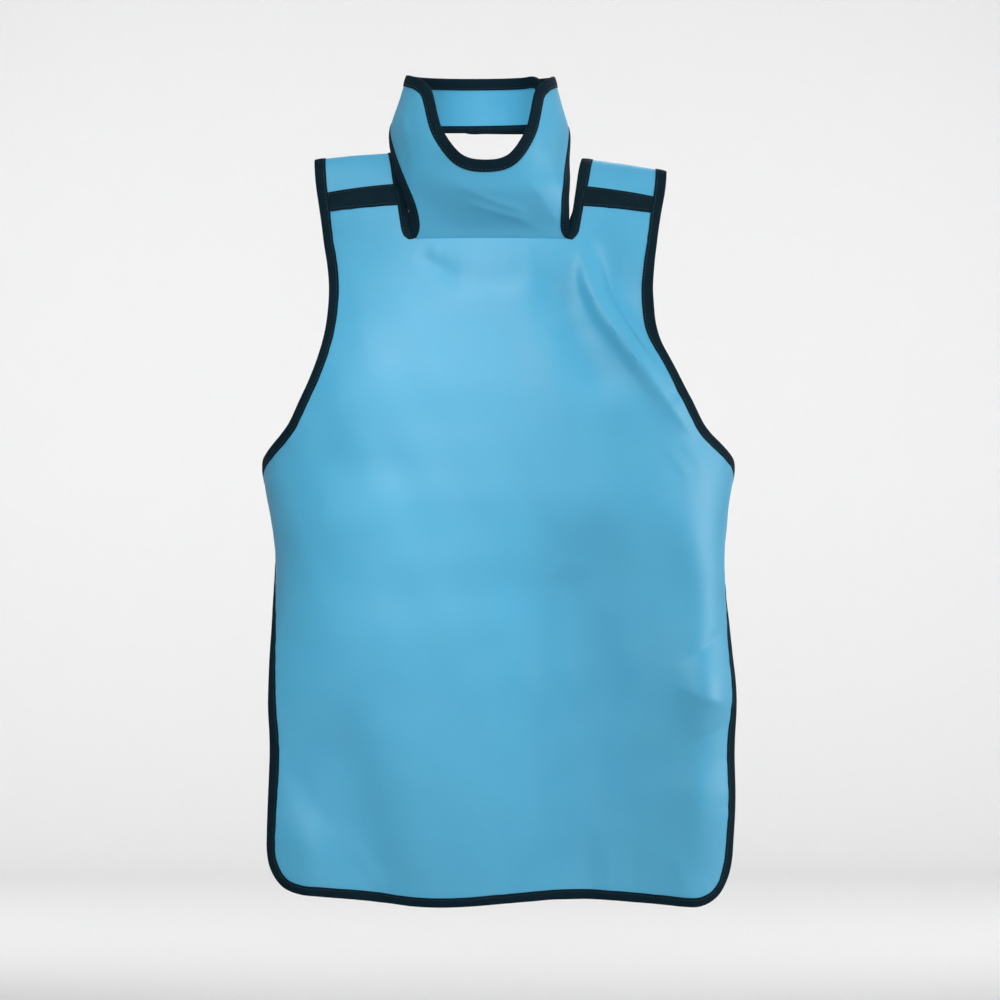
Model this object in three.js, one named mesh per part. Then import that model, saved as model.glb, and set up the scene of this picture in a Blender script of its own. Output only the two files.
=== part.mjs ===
// A lead x-ray vest: a heavy bib apron with a stand-up neck collar, two shoulder flaps and dark bound
// edges. It keeps the form it has when worn.
//
// Millimetres, +Z up. The wearer faces -Y and the origin lies midway between the two shoulder ridges.
// "Left" and "right" are as seen from the front, so left is -X.

import * as THREE from "three";

// Cloth and tape.
const SHEET_THICKNESS = 2;
const TAPE_WIDTH = 9.8;
const TAPE_THICKNESS = 0.7;
const SEWN_GAP = 0.35;
const TAPE_CLEARANCE = 0.62;
const BAND_WIDTH = 25;
const BAND_THICKNESS = 1.2;

// Main lengths of the apron, as "run": the distance up the front and over the shoulder. On the front the
// run is the height z itself; past the neck seam it goes on along the strap.
const HEM_RUN = -733;
const SEAM_RUN = -87;
const BAND_RUN = -36;
const FLAP_END_RUN = 190;
const TAPE_JOIN_RUN = -420;
const HEM_CORNER = 42;
const HEM_BLEND = 150;
const FLAP_CORNER = 16;
const FLAP_WIDTH = 82;

// Tape along the neck slits: it is narrow there and runs out to a point at the slit's foot.
const SLIT_TAPE_WIDTH = 8;
const SLIT_TAPE_TIP = 3;
const SLIT_TAPE_TAPER = 15;
const SLIT_HEIGHT = 40;

// Collar wings, as angles from the front centre. The left wing passes inside the right one.
const COLLAR_SEAM_ANGLE = 58.2;
const LEFT_WING_END = -242;
const RIGHT_WING_END = 192;
const WING_CORNER = 12;
const WING_LAP = 5.4;
const WING_LAP_START = 78;
const WING_LAP_FULL = 112;
const COLLAR_LAP = 8;
const COLLAR_BLEND = 108;
const FASTENER_LOW = 50;
const FASTENER_HIGH = 71;
const FASTENER_END = -182;

// Sections of the apron across the body, from the hem over the shoulder to the end of the back flap.
// y, z: centre line. half: half-width of the form. bow: how far its flanks fall away from the centre
// line. flat: 1 for an ellipse, more for a flatter front that turns later. turn: direction of that fall
// in degrees, 0 straight back, 90 down, 180 forward. lean: sideways shift. roll: how much the left side
// stands higher, per unit across. side: angle round the form at which the panel ends, in degrees.
const SECTIONS = [
  { run: -745, y: -119, z: -745, half: 262, bow: 126, flat: 1.65, turn: 0, lean: -2, roll: 0, side: 57.9 },
  { run: -650, y: -124, z: -650, half: 262, bow: 126, flat: 1.65, turn: 0, lean: -1, roll: 0, side: 58.7 },
  { run: -560, y: -127, z: -560, half: 257, bow: 125, flat: 1.65, turn: 0, lean: 0, roll: 0, side: 61.1 },
  { run: -500, y: -128, z: -500, half: 237, bow: 123, flat: 1.65, turn: 0, lean: -2.4, roll: 0, side: 69.4 },
  { run: -460, y: -128, z: -460, half: 223.7, bow: 118, flat: 1.65, turn: 0, lean: -4, roll: 0, side: 77.8 },
  { run: -430, y: -127, z: -430, half: 218.4, bow: 114, flat: 1.6, turn: 0, lean: -4.4, roll: 0, side: 86.6 },
  { run: -400, y: -126, z: -400, half: 218.8, bow: 113, flat: 1.6, turn: 0, lean: -3.2, roll: 0, side: 94.5 },
  { run: -370, y: -125, z: -370, half: 224.5, bow: 113, flat: 1.6, turn: 0, lean: -1.5, roll: 0, side: 98.5 },
  { run: -345, y: -124, z: -345, half: 229, bow: 116, flat: 1.5, turn: 0, lean: -1.5, roll: 0, side: 99.5 },
  { run: -325, y: -123, z: -325, half: 232.5, bow: 118.5, flat: 1.4, turn: 0, lean: -1.5, roll: 0, side: 96 },
  { run: -310, y: -122, z: -310, half: 234, bow: 120, flat: 1.34, turn: 0, lean: -1.5, roll: 0, side: 88 },
  { run: -298, y: -121, z: -298, half: 235, bow: 122.5, flat: 1.33, turn: 0, lean: -2, roll: 0, side: 76 },
  { run: -277, y: -119, z: -277, half: 236, bow: 128, flat: 1.35, turn: 0, lean: -3.5, roll: 0, side: 61.8 },
  { run: -250, y: -116, z: -250, half: 236, bow: 133, flat: 1.38, turn: 0, lean: -4, roll: 0, side: 54.5 },
  { run: -215, y: -110, z: -215, half: 236, bow: 140, flat: 1.33, turn: 0, lean: -5, roll: 0, side: 47.8 },
  { run: -180, y: -102, z: -180, half: 236, bow: 148, flat: 1.22, turn: 0, lean: -6, roll: 0, side: 43.8 },
  { run: -130, y: -88, z: -130, half: 236, bow: 158, flat: 1.06, turn: 0, lean: -8, roll: 0, side: 42.3 },
  { run: -87, y: -74, z: -87, half: 236, bow: 162, flat: 1, turn: 2, lean: -9.5, roll: 0, side: 43.9 },
  { run: -58, y: -60, z: -60, half: 236, bow: 130, flat: 1, turn: 8, lean: -9.5, roll: 0.002, side: 45 },
  { run: -30, y: -42, z: -35, half: 236, bow: 98, flat: 1, turn: 21, lean: -9.5, roll: 0.01, side: 46.2 },
  { run: -7, y: -23, z: -13, half: 236, bow: 68, flat: 1, turn: 46, lean: -9.5, roll: 0.02, side: 47.2 },
  { run: 10, y: -6, z: -0.5, half: 236, bow: 48, flat: 1, turn: 70, lean: -9.5, roll: 0.028, side: 47.7 },
  { run: 24, y: 9, z: 3.8, half: 236, bow: 39, flat: 1, turn: 90, lean: -9.5, roll: 0.032, side: 47.9 },
  { run: 40, y: 25, z: 0, half: 236, bow: 38, flat: 1, turn: 112, lean: -9.5, roll: 0.03, side: 47.8 },
  { run: 66, y: 45, z: -16, half: 236, bow: 42, flat: 1, turn: 138, lean: -9.5, roll: 0.02, side: 47 },
  { run: 105, y: 63, z: -50, half: 236, bow: 50, flat: 1, turn: 160, lean: -9.5, roll: 0.008, side: 45.8 },
  { run: 146, y: 73, z: -91, half: 236, bow: 58, flat: 1, turn: 172, lean: -9.5, roll: 0, side: 44.3 },
  { run: 196, y: 79, z: -141, half: 236, bow: 62, flat: 1, turn: 178, lean: -9.5, roll: 0, side: 42.5 },
];

// Inner edge of the shoulder straps, from the slit's foot to the end of the flap, from the centre line.
const STRAP_INNER = [
  { run: -87, x: 77.8 },
  { run: -70, x: 80 },
  { run: -50, x: 83 },
  { run: -30, x: 85.5 },
  { run: -7, x: 88.5 },
  { run: 24, x: 92.5 },
  { run: 66, x: 92 },
  { run: 196, x: 84 },
];

// The hem dips and lifts with the folds that run into it.
const HEM_DROP = [
  { x: -240, drop: -11.5 },
  { x: -195, drop: -9 },
  { x: -150, drop: -5 },
  { x: -100, drop: 1 },
  { x: -50, drop: 2.5 },
  { x: 20, drop: -2 },
  { x: 85, drop: -5 },
  { x: 145, drop: -1 },
  { x: 190, drop: 2.8 },
  { x: 240, drop: -8.5 },
];

// Folds of the apron: each a soft ridge (rise above 0) or valley along a line on the front.
const FOLDS = [
  { name: "right shoulder ridge", x0: 88, run0: -128, x1: 150, run1: -226, width: 24, rise: 8 },
  { name: "right shoulder valley", x0: 58, run0: -124, x1: 112, run1: -236, width: 22, rise: -7 },
  { name: "right strap hollow", x0: 108, run0: -104, x1: 132, run1: -146, width: 26, rise: -6 },
  { name: "right flank ridge", x0: 203, run0: -390, x1: 188, run1: -560, width: 36, rise: 10 },
  { name: "right front valley", x0: 80, run0: -400, x1: 66, run1: -740, width: 52, rise: -17 },
  { name: "right pucker", x0: 200, run0: -512, x1: 178, run1: -538, width: 26, rise: 6 },
  { name: "right hem swell", x0: 186, run0: -610, x1: 178, run1: -760, width: 40, rise: 11 },
  { name: "left hem valley", x0: -172, run0: -560, x1: -108, run1: -760, width: 36, rise: -13 },
  { name: "left hem swell", x0: -192, run0: -660, x1: -184, run1: -760, width: 34, rise: 5 },
  { name: "left chest ridge", x0: -124, run0: -160, x1: -146, run1: -500, width: 48, rise: 4 },
];

// Level rings of the collar. half: half-width. front, back: where the ring crosses the centre plane.
// lean: sideways shift. turn: how far the ring is twisted to the right, in degrees.
const COLLAR_RINGS = [
  { z: -100, half: 88, front: -74, back: 91, lean: -9.5, turn: 0 },
  { z: -68, half: 88, front: -81, back: 91, lean: -10, turn: 0 },
  { z: -45, half: 88, front: -86, back: 91, lean: -14.2, turn: 1 },
  { z: -25, half: 88, front: -89, back: 91, lean: -17.8, turn: 2.5 },
  { z: -5, half: 88, front: -90, back: 91, lean: -20, turn: 3.6 },
  { z: 28, half: 87.5, front: -88, back: 90.5, lean: -21, turn: 4 },
  { z: 57, half: 79, front: -79, back: 85, lean: -20.5, turn: 4 },
  { z: 95, half: 68, front: -69, back: 75, lean: -20, turn: 4 },
];

// Height of the collar's free edges by angle from the front centre: the top edge with the U of the
// neckline, and the lower edge from the slit's foot up and round to the back.
const COLLAR_TOP = [
  { angle: 0, z: -14.5 },
  { angle: 16, z: -7.5 },
  { angle: 28, z: 17 },
  { angle: 34, z: 39 },
  { angle: 41, z: 58 },
  { angle: 52, z: 69 },
  { angle: 70, z: 76 },
  { angle: 90, z: 80 },
  { angle: 135, z: 84 },
  { angle: 180, z: 86 },
  { angle: 240, z: 85 },
];
const COLLAR_FOOT = [
  { angle: 58.2, z: -85 },
  { angle: 60, z: -68 },
  { angle: 62.5, z: -50 },
  { angle: 67, z: -36 },
  { angle: 72, z: -25 },
  { angle: 80, z: -5 },
  { angle: 86, z: 8 },
  { angle: 92, z: 18 },
  { angle: 100, z: 25.5 },
  { angle: 115, z: 29.5 },
  { angle: 150, z: 33 },
  { angle: 180, z: 34.5 },
  { angle: 240, z: 34 },
];

// Colours.
const BLUE_CLOTH = "#5aaed6";
const DARK_TAPE = "#0c202b";

const radians = THREE.MathUtils.degToRad;
const degrees = THREE.MathUtils.radToDeg;
const smooth = THREE.MathUtils.smoothstep;

// Turns a table into a smooth function that gives a row's columns at any place between the rows.
function readTable(rows, key) {
  const columns = Object.keys(rows[0]).filter((name) => name !== key);
  const places = rows.map((row) => row[key]);
  const values = rows.flatMap((row) => columns.map((name) => row[name]));
  const spline = new THREE.CubicInterpolant(places, values, columns.length);
  return (place) => {
    const found = spline.evaluate(place);
    return Object.fromEntries(columns.map((name, index) => [name, found[index]]));
  };
}

const sectionAt = readTable(SECTIONS, "run");
const strapInnerAt = readTable(STRAP_INNER, "run");
const hemDropAt = readTable(HEM_DROP, "x");
const ringAt = readTable(COLLAR_RINGS, "z");
const collarTopAt = readTable(COLLAR_TOP, "angle");
const collarFootAt = readTable(COLLAR_FOOT, "angle");

// Numbers from one end to the other in equal steps no longer than the given one.
function spaced(from, to, step) {
  const count = Math.ceil(Math.abs(to - from) / step);
  return Array.from({ length: count + 1 }, (unused, index) => from + ((to - from) * index) / count);
}

// Joins lists of numbers and leaves out a number that repeats the one before it.
function joined(...lists) {
  return lists.flat().filter((value, index, all) => index === 0 || Math.abs(value - all[index - 1]) > 1e-6);
}

// Height of all folds together at one place on the front.
function foldRise(x, run) {
  let rise = 0;
  for (const fold of FOLDS) {
    const alongX = fold.x1 - fold.x0;
    const alongRun = fold.run1 - fold.run0;
    const length = Math.hypot(alongX, alongRun);
    const along = ((x - fold.x0) * alongX + (run - fold.run0) * alongRun) / length;
    const across = ((x - fold.x0) * alongRun - (run - fold.run0) * alongX) / length;
    const fade = 1.2 * fold.width;
    const begins = smooth(along, -fade, fold.width);
    const goesOn = 1 - smooth(along, length - fold.width, length + fade);
    rise += fold.rise * begins * goesOn * Math.exp(-((across / fold.width) ** 2));
  }
  return rise;
}

// Mid-surface of the apron, its straps and its flaps. The angle goes round the body from the front centre.
function apronPoint(angle, run) {
  const section = sectionAt(run);
  const turn = radians(section.turn);
  const across = section.half * Math.sin(angle);
  const fall = section.bow * (1 - Math.cos(angle)) ** section.flat;
  const rise = foldRise(across, run);
  return new THREE.Vector3(
    section.lean + across + rise * Math.sin(angle),
    section.y + fall * Math.cos(turn) - rise * Math.cos(angle) * Math.cos(turn),
    section.z - fall * Math.sin(turn) - section.roll * across,
  );
}

// Angle round the apron's form of a place at a given distance from the centre line.
function apronAngle(across, run) {
  return Math.asin(across / sectionAt(run).half);
}

// Mid-surface of the collar. Near its seam it takes the apron's own curve and lies behind the apron's top
// edge; at the back, the right wing stands off to lap over the left one.
function collarPoint(angle, z) {
  const ring = ringAt(z);
  const turned = angle + radians(ring.turn);
  const lap = WING_LAP * smooth(degrees(angle), WING_LAP_START, WING_LAP_FULL);
  const middle = (ring.front + ring.back) / 2;
  const x = ring.lean + (ring.half + lap) * Math.sin(turned);
  const y = middle - ((ring.back - ring.front) / 2 + lap) * Math.cos(turned);
  const seam = apronPoint(apronAngle(x - sectionAt(SEAM_RUN).lean, SEAM_RUN), SEAM_RUN);
  const faces = Math.abs(degrees(angle)) < 95;
  const onSeam = faces ? 1 - smooth(z, SEAM_RUN, SEAM_RUN + COLLAR_BLEND) : 0;
  const behind = seam.y + SHEET_THICKNESS + SEWN_GAP;
  return new THREE.Vector3(x, THREE.MathUtils.lerp(y, behind, onSeam), z);
}

// Point, outward normal and the two directions of a surface at one place.
function surfaceFrame(surface, u, v) {
  const du = 0.002;
  const dv = 0.2;
  const alongU = surface(u + du, v).sub(surface(u - du, v)).divideScalar(2 * du);
  const alongV = surface(u, v + dv).sub(surface(u, v - dv)).divideScalar(2 * dv);
  const normal = alongU.clone().cross(alongV).normalize();
  return { point: surface(u, v), normal, alongU, alongV };
}

// The same surface moved out along its normal.
function offsetSurface(surface, distance) {
  return (u, v) => {
    const frame = surfaceFrame(surface, u, v);
    return frame.point.addScaledVector(frame.normal, distance);
  };
}

// The place on a surface that a small step in space leads to.
function stepOnSurface(frame, u, v, step) {
  const uu = frame.alongU.dot(frame.alongU);
  const uv = frame.alongU.dot(frame.alongV);
  const vv = frame.alongV.dot(frame.alongV);
  const stepU = frame.alongU.dot(step);
  const stepV = frame.alongV.dot(step);
  const area = uu * vv - uv * uv;
  return [u + (vv * stepU - uv * stepV) / area, v + (uu * stepV - uv * stepU) / area];
}

// Collects corners and triangles for one closed body.
class Body {
  corners = [];
  indices = [];

  corner(point) {
    return this.corners.push(point) - 1;
  }

  // A four-sided face, split along its shorter diagonal so that it lies close to a curved surface.
  quad(a, b, c, d) {
    const [pa, pb, pc, pd] = [a, b, c, d].map((index) => this.corners[index]);
    if (pa.distanceToSquared(pc) <= pb.distanceToSquared(pd)) {
      this.indices.push(a, b, c, a, c, d);
    } else {
      this.indices.push(b, c, d, b, d, a);
    }
  }

  geometry() {
    const geometry = new THREE.BufferGeometry().setFromPoints(this.corners);
    geometry.setIndex(this.indices);
    geometry.computeVertexNormals();
    return geometry;
  }
}

// A sheet of even thickness over a grid of places [u, v] on a surface. Each row runs with u and the rows
// are stacked with v. An empty place leaves a hole in the grid.
function sheetGeometry(surface, rows, thickness) {
  const body = new Body();
  const corners = rows.map((row) =>
    row.map((place) => {
      if (place === null) {
        return null;
      }
      const { point, normal } = surfaceFrame(surface, place[0], place[1]);
      const half = normal.multiplyScalar(thickness / 2);
      return { front: body.corner(point.clone().add(half)), back: body.corner(point.clone().sub(half)) };
    }),
  );
  const isCell = (r, c) => {
    const around = [corners[r]?.[c], corners[r]?.[c + 1], corners[r + 1]?.[c + 1], corners[r + 1]?.[c]];
    return around.every((corner) => corner);
  };
  for (let r = 0; r < rows.length - 1; r += 1) {
    for (let c = 0; c < rows[r].length - 1; c += 1) {
      if (!isCell(r, c)) {
        continue;
      }
      const [a, b, d, e] = [corners[r][c], corners[r][c + 1], corners[r + 1][c + 1], corners[r + 1][c]];
      body.quad(a.front, b.front, d.front, e.front);
      body.quad(e.back, d.back, b.back, a.back);
      const sides = [
        [a, b, isCell(r - 1, c)],
        [b, d, isCell(r, c + 1)],
        [d, e, isCell(r + 1, c)],
        [e, a, isCell(r, c - 1)],
      ];
      for (const [from, to, hasNeighbour] of sides) {
        if (!hasNeighbour) {
          body.quad(from.back, to.back, to.front, from.front);
        }
      }
    }
  }
  return body.geometry();
}

// A tape folded over the edge of a sheet. The path lists places [u, v] along the edge with the sheet on
// its left side, seen from outside. The third number of a place is the width of the tape there.
function tapeGeometry(surface, path) {
  const body = new Body();
  const inside = SHEET_THICKNESS / 2 + TAPE_CLEARANCE;
  const outside = inside + TAPE_THICKNESS;
  const points = path.map(([u, v]) => surface(u, v));
  const sections = path.map(([u, v, width], index) => {
    const frame = surfaceFrame(surface, u, v);
    const before = points[Math.max(index - 1, 0)];
    const after = points[Math.min(index + 1, points.length - 1)];
    const along = after.clone().sub(before).normalize();
    const inward = frame.normal.clone().cross(along).normalize();
    const place = stepOnSurface(frame, u, v, inward.clone().multiplyScalar(width));
    const leg = surfaceFrame(surface, place[0], place[1]);
    const edge = (out, height) =>
      frame.point.clone().addScaledVector(inward, -out).addScaledVector(frame.normal, height);
    const tip = (height) => leg.point.clone().addScaledVector(leg.normal, height);
    const fold = SEWN_GAP + TAPE_THICKNESS;
    const loop = [
      tip(outside),
      edge(fold, outside),
      edge(fold, -outside),
      tip(-outside),
      tip(-inside),
      edge(SEWN_GAP, -inside),
      edge(SEWN_GAP, inside),
      tip(inside),
    ];
    return loop.map((point) => body.corner(point));
  });
  for (let s = 0; s < sections.length - 1; s += 1) {
    for (let k = 0; k < 8; k += 1) {
      const next = (k + 1) % 8;
      body.quad(sections[s][k], sections[s][next], sections[s + 1][next], sections[s + 1][k]);
    }
  }
  const first = sections[0];
  const last = sections[sections.length - 1];
  for (const [a, b, c, d] of [[0, 1, 6, 7], [1, 2, 5, 6], [2, 3, 4, 5]]) {
    body.quad(first[d], first[c], first[b], first[a]);
    body.quad(last[a], last[b], last[c], last[d]);
  }
  return body.geometry();
}

// How far a rounded corner has drawn back from a straight edge, at a distance from the corner's end.
function cornerRise(distance, radius) {
  const into = Math.max(0, radius - Math.max(0, distance));
  return radius - Math.sqrt(Math.max(0, radius * radius - into * into));
}

// Distances from an end at which a rounded corner is divided into equal turns.
function cornerSteps(radius) {
  return [0, 30, 60, 90].map((turn) => radius * (1 - Math.cos(radians(turn))));
}

// Columns of the panel as shares of the way from the centre line to the side edge.
const sideAngle = (run) => radians(sectionAt(run).side);
const slitShare = apronAngle(strapInnerAt(SEAM_RUN).x, SEAM_RUN) / sideAngle(SEAM_RUN);
const hemSection = sectionAt(HEM_RUN);
const hemEdge = sideAngle(HEM_RUN);
const nearEdge = 0.85 * hemEdge;
const hemFall =
  hemSection.bow * hemSection.flat * (1 - Math.cos(nearEdge)) ** (hemSection.flat - 1) * Math.sin(nearEdge);
const hemStretch = Math.hypot(hemSection.half * Math.cos(nearEdge), hemFall);
const cornerShare = HEM_CORNER / (hemStretch * hemEdge);
const cornerShares = cornerSteps(HEM_CORNER).map((distance) => 1 - (cornerShare * distance) / HEM_CORNER);
const rightShares = joined(
  spaced(0, slitShare, 0.12),
  spaced(slitShare, 1 - cornerShare, 0.075),
  cornerShares.reverse(),
);
const panelShares = joined(rightShares.map((share) => -share).reverse(), rightShares);

// Run of the hem under each column, with the corners rounded.
function hemRunAt(share) {
  const across = hemSection.half * Math.sin(share * hemEdge);
  const fromEnd = ((1 - Math.abs(share)) / cornerShare) * HEM_CORNER;
  return HEM_RUN - hemDropAt(across).drop + cornerRise(fromEnd, HEM_CORNER);
}

// Place of a column at a level of the panel. Low levels follow the hem and higher ones are straight.
function panelPlace(share, level) {
  const followsHem = Math.max(0, 1 - (level - HEM_RUN) / HEM_BLEND);
  const runAt = (column) => level + (hemRunAt(column) - HEM_RUN) * followsHem;
  return [share * sideAngle(runAt(Math.sign(share))), runAt(share)];
}

const panelLevels = joined(
  [HEM_RUN],
  spaced(HEM_RUN + TAPE_WIDTH + 1, TAPE_JOIN_RUN, 26),
  spaced(TAPE_JOIN_RUN, -370, 17),
  spaced(-370, -322, 12),
  spaced(-322, -270, 9),
  spaced(-270, SEAM_RUN, 23),
);

// Place on a strap or flap, where the share goes from its inner edge to its outer one.
function strapPlace(side, share, run) {
  const inner = apronAngle(strapInnerAt(run).x, run);
  return [side * THREE.MathUtils.lerp(inner, sideAngle(run), share), run];
}

const strapRuns = spaced(SEAM_RUN, BAND_RUN, 15);
const outerCount = rightShares.filter((share) => share > slitShare - 1e-6).length;
const strapShares = rightShares.slice(-outerCount).map((share) => (share - slitShare) / (1 - slitShare));

// Rows of the front panel: the body, then both straps with nothing between them.
function frontPanelRows() {
  const rows = panelLevels.map((level) => panelShares.map((share) => panelPlace(share, level)));
  for (const run of strapRuns.slice(1)) {
    const top = Math.min(run, BAND_RUN - SEWN_GAP / 2);
    const right = strapShares.map((share) => strapPlace(1, share, top));
    const left = strapShares.map((share) => strapPlace(-1, share, top)).reverse();
    const between = panelShares.slice(2 * outerCount).map(() => null);
    rows.push([...left, ...between, ...right]);
  }
  return rows;
}

// Shares across a flap, close together at its rounded corners.
const flapCorner = cornerSteps(FLAP_CORNER).map((distance) => distance / FLAP_WIDTH);
const flapShares = joined(
  flapCorner,
  spaced(FLAP_CORNER / FLAP_WIDTH, 1 - FLAP_CORNER / FLAP_WIDTH, 0.31),
  flapCorner.map((share) => 1 - share).reverse(),
);
const flapRuns = joined(
  spaced(BAND_RUN + SEWN_GAP / 2, -10, 12),
  spaced(-10, 58, 11.5),
  spaced(58, FLAP_END_RUN - FLAP_CORNER - TAPE_WIDTH, 27),
  [FLAP_END_RUN],
);

// Place on a flap, whose last row has rounded corners.
function flapPlace(side, share, run) {
  const fromEdge = Math.min(share, 1 - share) * FLAP_WIDTH;
  const drawn = run === FLAP_END_RUN ? cornerRise(fromEdge, FLAP_CORNER) : 0;
  return strapPlace(side, share, run - drawn);
}

function flapRows(side) {
  const shares = side > 0 ? flapShares : [...flapShares].reverse();
  return flapRuns.map((run) => shares.map((share) => flapPlace(side, share, run)));
}

// Rows of the dark band, which lies between the tapes at both edges of its strap.
function bandRows(side) {
  const innerTape = slitTapeWidth(BAND_RUN - SEAM_RUN);
  const clear = 3 * SEWN_GAP;
  const shares = spaced((innerTape + clear) / FLAP_WIDTH, 1 - (TAPE_WIDTH + clear) / FLAP_WIDTH, 0.16);
  const runs = spaced(BAND_RUN - BAND_WIDTH / 2, BAND_RUN + BAND_WIDTH / 2, 9);
  const ordered = side > 0 ? shares : shares.reverse();
  return runs.map((run) => ordered.map((share) => strapPlace(side, share, run)));
}

// Columns of the collar, close together where its edges are steep and at the rounded wing ends.
const wingRadius = COLLAR_RINGS.find((ring) => ring.z === 28).half;
const wingCornerAngles = cornerSteps(WING_CORNER).map((distance) => degrees(distance / wingRadius));
const wingCornerAngle = wingCornerAngles.at(-1);
const collarAngles = joined(
  wingCornerAngles.map((angle) => LEFT_WING_END + angle),
  spaced(LEFT_WING_END + wingCornerAngle, -112, 13.5),
  spaced(-112, -74, 6.5),
  spaced(-74, -COLLAR_SEAM_ANGLE, 2.7),
  spaced(-COLLAR_SEAM_ANGLE, -16, 4.3),
  spaced(-16, 16, 6.5),
  spaced(16, COLLAR_SEAM_ANGLE, 4.3),
  spaced(COLLAR_SEAM_ANGLE, 74, 2.7),
  spaced(74, 112, 6.5),
  spaced(112, RIGHT_WING_END - wingCornerAngle, 13.5),
  wingCornerAngles.map((angle) => RIGHT_WING_END - angle).reverse(),
);

// How far the rounded end of a wing has drawn in its upper and lower edges at an angle.
function wingRise(angle) {
  const fromEnd = Math.min(angle - LEFT_WING_END, RIGHT_WING_END - angle);
  return cornerRise(radians(fromEnd) * wingRadius, WING_CORNER);
}

const collarTop = (angle) => collarTopAt(Math.abs(angle)).z - wingRise(angle);

// Lower edge of the collar: tucked behind the apron along the seam, free from the slits to the wing ends.
function collarFoot(angle) {
  if (Math.abs(angle) < COLLAR_SEAM_ANGLE - 1e-6) {
    return SEAM_RUN - COLLAR_LAP;
  }
  return collarFootAt(Math.abs(angle)).z + wingRise(angle);
}

// Rows of the collar between its lower and upper edges.
function collarRows() {
  const shares = [0, 0.13, 0.28, 0.46, 0.65, 0.84, 1];
  const heightAt = (angle, share) => THREE.MathUtils.lerp(collarFoot(angle), collarTop(angle), share);
  return shares.map((share) => collarAngles.map((angle) => [radians(angle), heightAt(angle, share)]));
}

// Rows of the fastener, a patch on the outside of the left wing where the right wing covers it.
function fastenerRows() {
  const angles = spaced(LEFT_WING_END + wingCornerAngle, FASTENER_END, 7);
  return [FASTENER_LOW, FASTENER_HIGH].map((z) => angles.map((angle) => [radians(angle), z]));
}

// Width of a tape that follows a neck slit, at a height above the slit's foot.
function slitTapeWidth(height) {
  const tip = THREE.MathUtils.lerp(SLIT_TAPE_TIP, SLIT_TAPE_WIDTH, smooth(height, 0, SLIT_TAPE_TAPER));
  return THREE.MathUtils.lerp(tip, TAPE_WIDTH, smooth(height, SLIT_HEIGHT, 2 * SLIT_HEIGHT));
}

// Path of the tape down the left side, along the hem and up the right side.
function hemTapePath() {
  const levels = [...panelLevels.filter((level) => level < TAPE_JOIN_RUN), TAPE_JOIN_RUN - SEWN_GAP / 2];
  const down = levels.map((level) => panelPlace(-1, level)).reverse();
  const across = panelShares.slice(1, -1).map((share) => panelPlace(share, HEM_RUN));
  const up = levels.map((level) => panelPlace(1, level));
  return [...down, ...across, ...up].map((place) => [...place, TAPE_WIDTH]);
}

// Path of the tape up an armhole, over the shoulder, round the flap's end and back to the neck slit.
function shoulderTapePath(side) {
  const levels = [TAPE_JOIN_RUN + SEWN_GAP / 2, ...panelLevels.filter((level) => level > TAPE_JOIN_RUN)];
  const strap = strapRuns.slice(1, -1);
  const outer = [
    ...levels.map((level) => panelPlace(side, level)),
    ...strap.map((run) => strapPlace(side, 1, run)),
    ...flapRuns.map((run) => flapPlace(side, 1, run)),
  ];
  const end = flapShares.slice(1, -1).reverse().map((share) => flapPlace(side, share, FLAP_END_RUN));
  const inner = [
    strapPlace(side, 0, SEAM_RUN + 2 * SEWN_GAP),
    ...strap.map((run) => strapPlace(side, 0, run)),
    ...flapRuns.map((run) => flapPlace(side, 0, run)),
  ].reverse();
  const path = [
    ...[...outer, ...end].map((place) => [...place, TAPE_WIDTH]),
    ...inner.map((place) => [...place, slitTapeWidth(place[1] - SEAM_RUN)]),
  ];
  return side > 0 ? path : path.reverse();
}

// Path of the tape from the right slit round the right wing, along the neckline and back to the left slit.
function collarTapePath() {
  const footWidth = (angle) => slitTapeWidth(collarFoot(angle) - SEAM_RUN);
  const alongFoot = (angle) => [radians(angle), collarFoot(angle), footWidth(angle)];
  const rightFoot = collarAngles.filter((angle) => angle >= COLLAR_SEAM_ANGLE - 1e-6).map(alongFoot);
  const leftFoot = collarAngles.filter((angle) => angle <= -COLLAR_SEAM_ANGLE + 1e-6).map(alongFoot);
  const top = [...collarAngles].reverse().map((angle) => [radians(angle), collarTop(angle), TAPE_WIDTH]);
  return [...rightFoot, ...top, ...leftFoot];
}

const onApron = SHEET_THICKNESS / 2 + SEWN_GAP + BAND_THICKNESS / 2;
const bandSurface = offsetSurface(apronPoint, onApron);
const fastenerSurface = offsetSurface(collarPoint, WING_LAP / 2);
const fastenerThickness = WING_LAP - SHEET_THICKNESS - 4 * SEWN_GAP;

const apronSheet = (rows) => sheetGeometry(apronPoint, rows, SHEET_THICKNESS);
const apronTape = (path) => tapeGeometry(apronPoint, path);
const bandSheet = (side) => sheetGeometry(bandSurface, bandRows(side), BAND_THICKNESS);

const shapes = {
  front_panel: [BLUE_CLOTH, apronSheet(frontPanelRows())],
  collar: [BLUE_CLOTH, sheetGeometry(collarPoint, collarRows(), SHEET_THICKNESS)],
  collar_fastener: [DARK_TAPE, sheetGeometry(fastenerSurface, fastenerRows(), fastenerThickness)],
  collar_binding: [DARK_TAPE, tapeGeometry(collarPoint, collarTapePath())],
  hem_binding: [DARK_TAPE, apronTape(hemTapePath())],
};
for (const [side, end] of [[-1, "left"], [1, "right"]]) {
  shapes[`shoulder_flap_${end}`] = [BLUE_CLOTH, apronSheet(flapRows(side))];
  shapes[`shoulder_band_${end}`] = [DARK_TAPE, bandSheet(side)];
  shapes[`shoulder_binding_${end}`] = [DARK_TAPE, apronTape(shoulderTapePath(side))];
}

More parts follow.
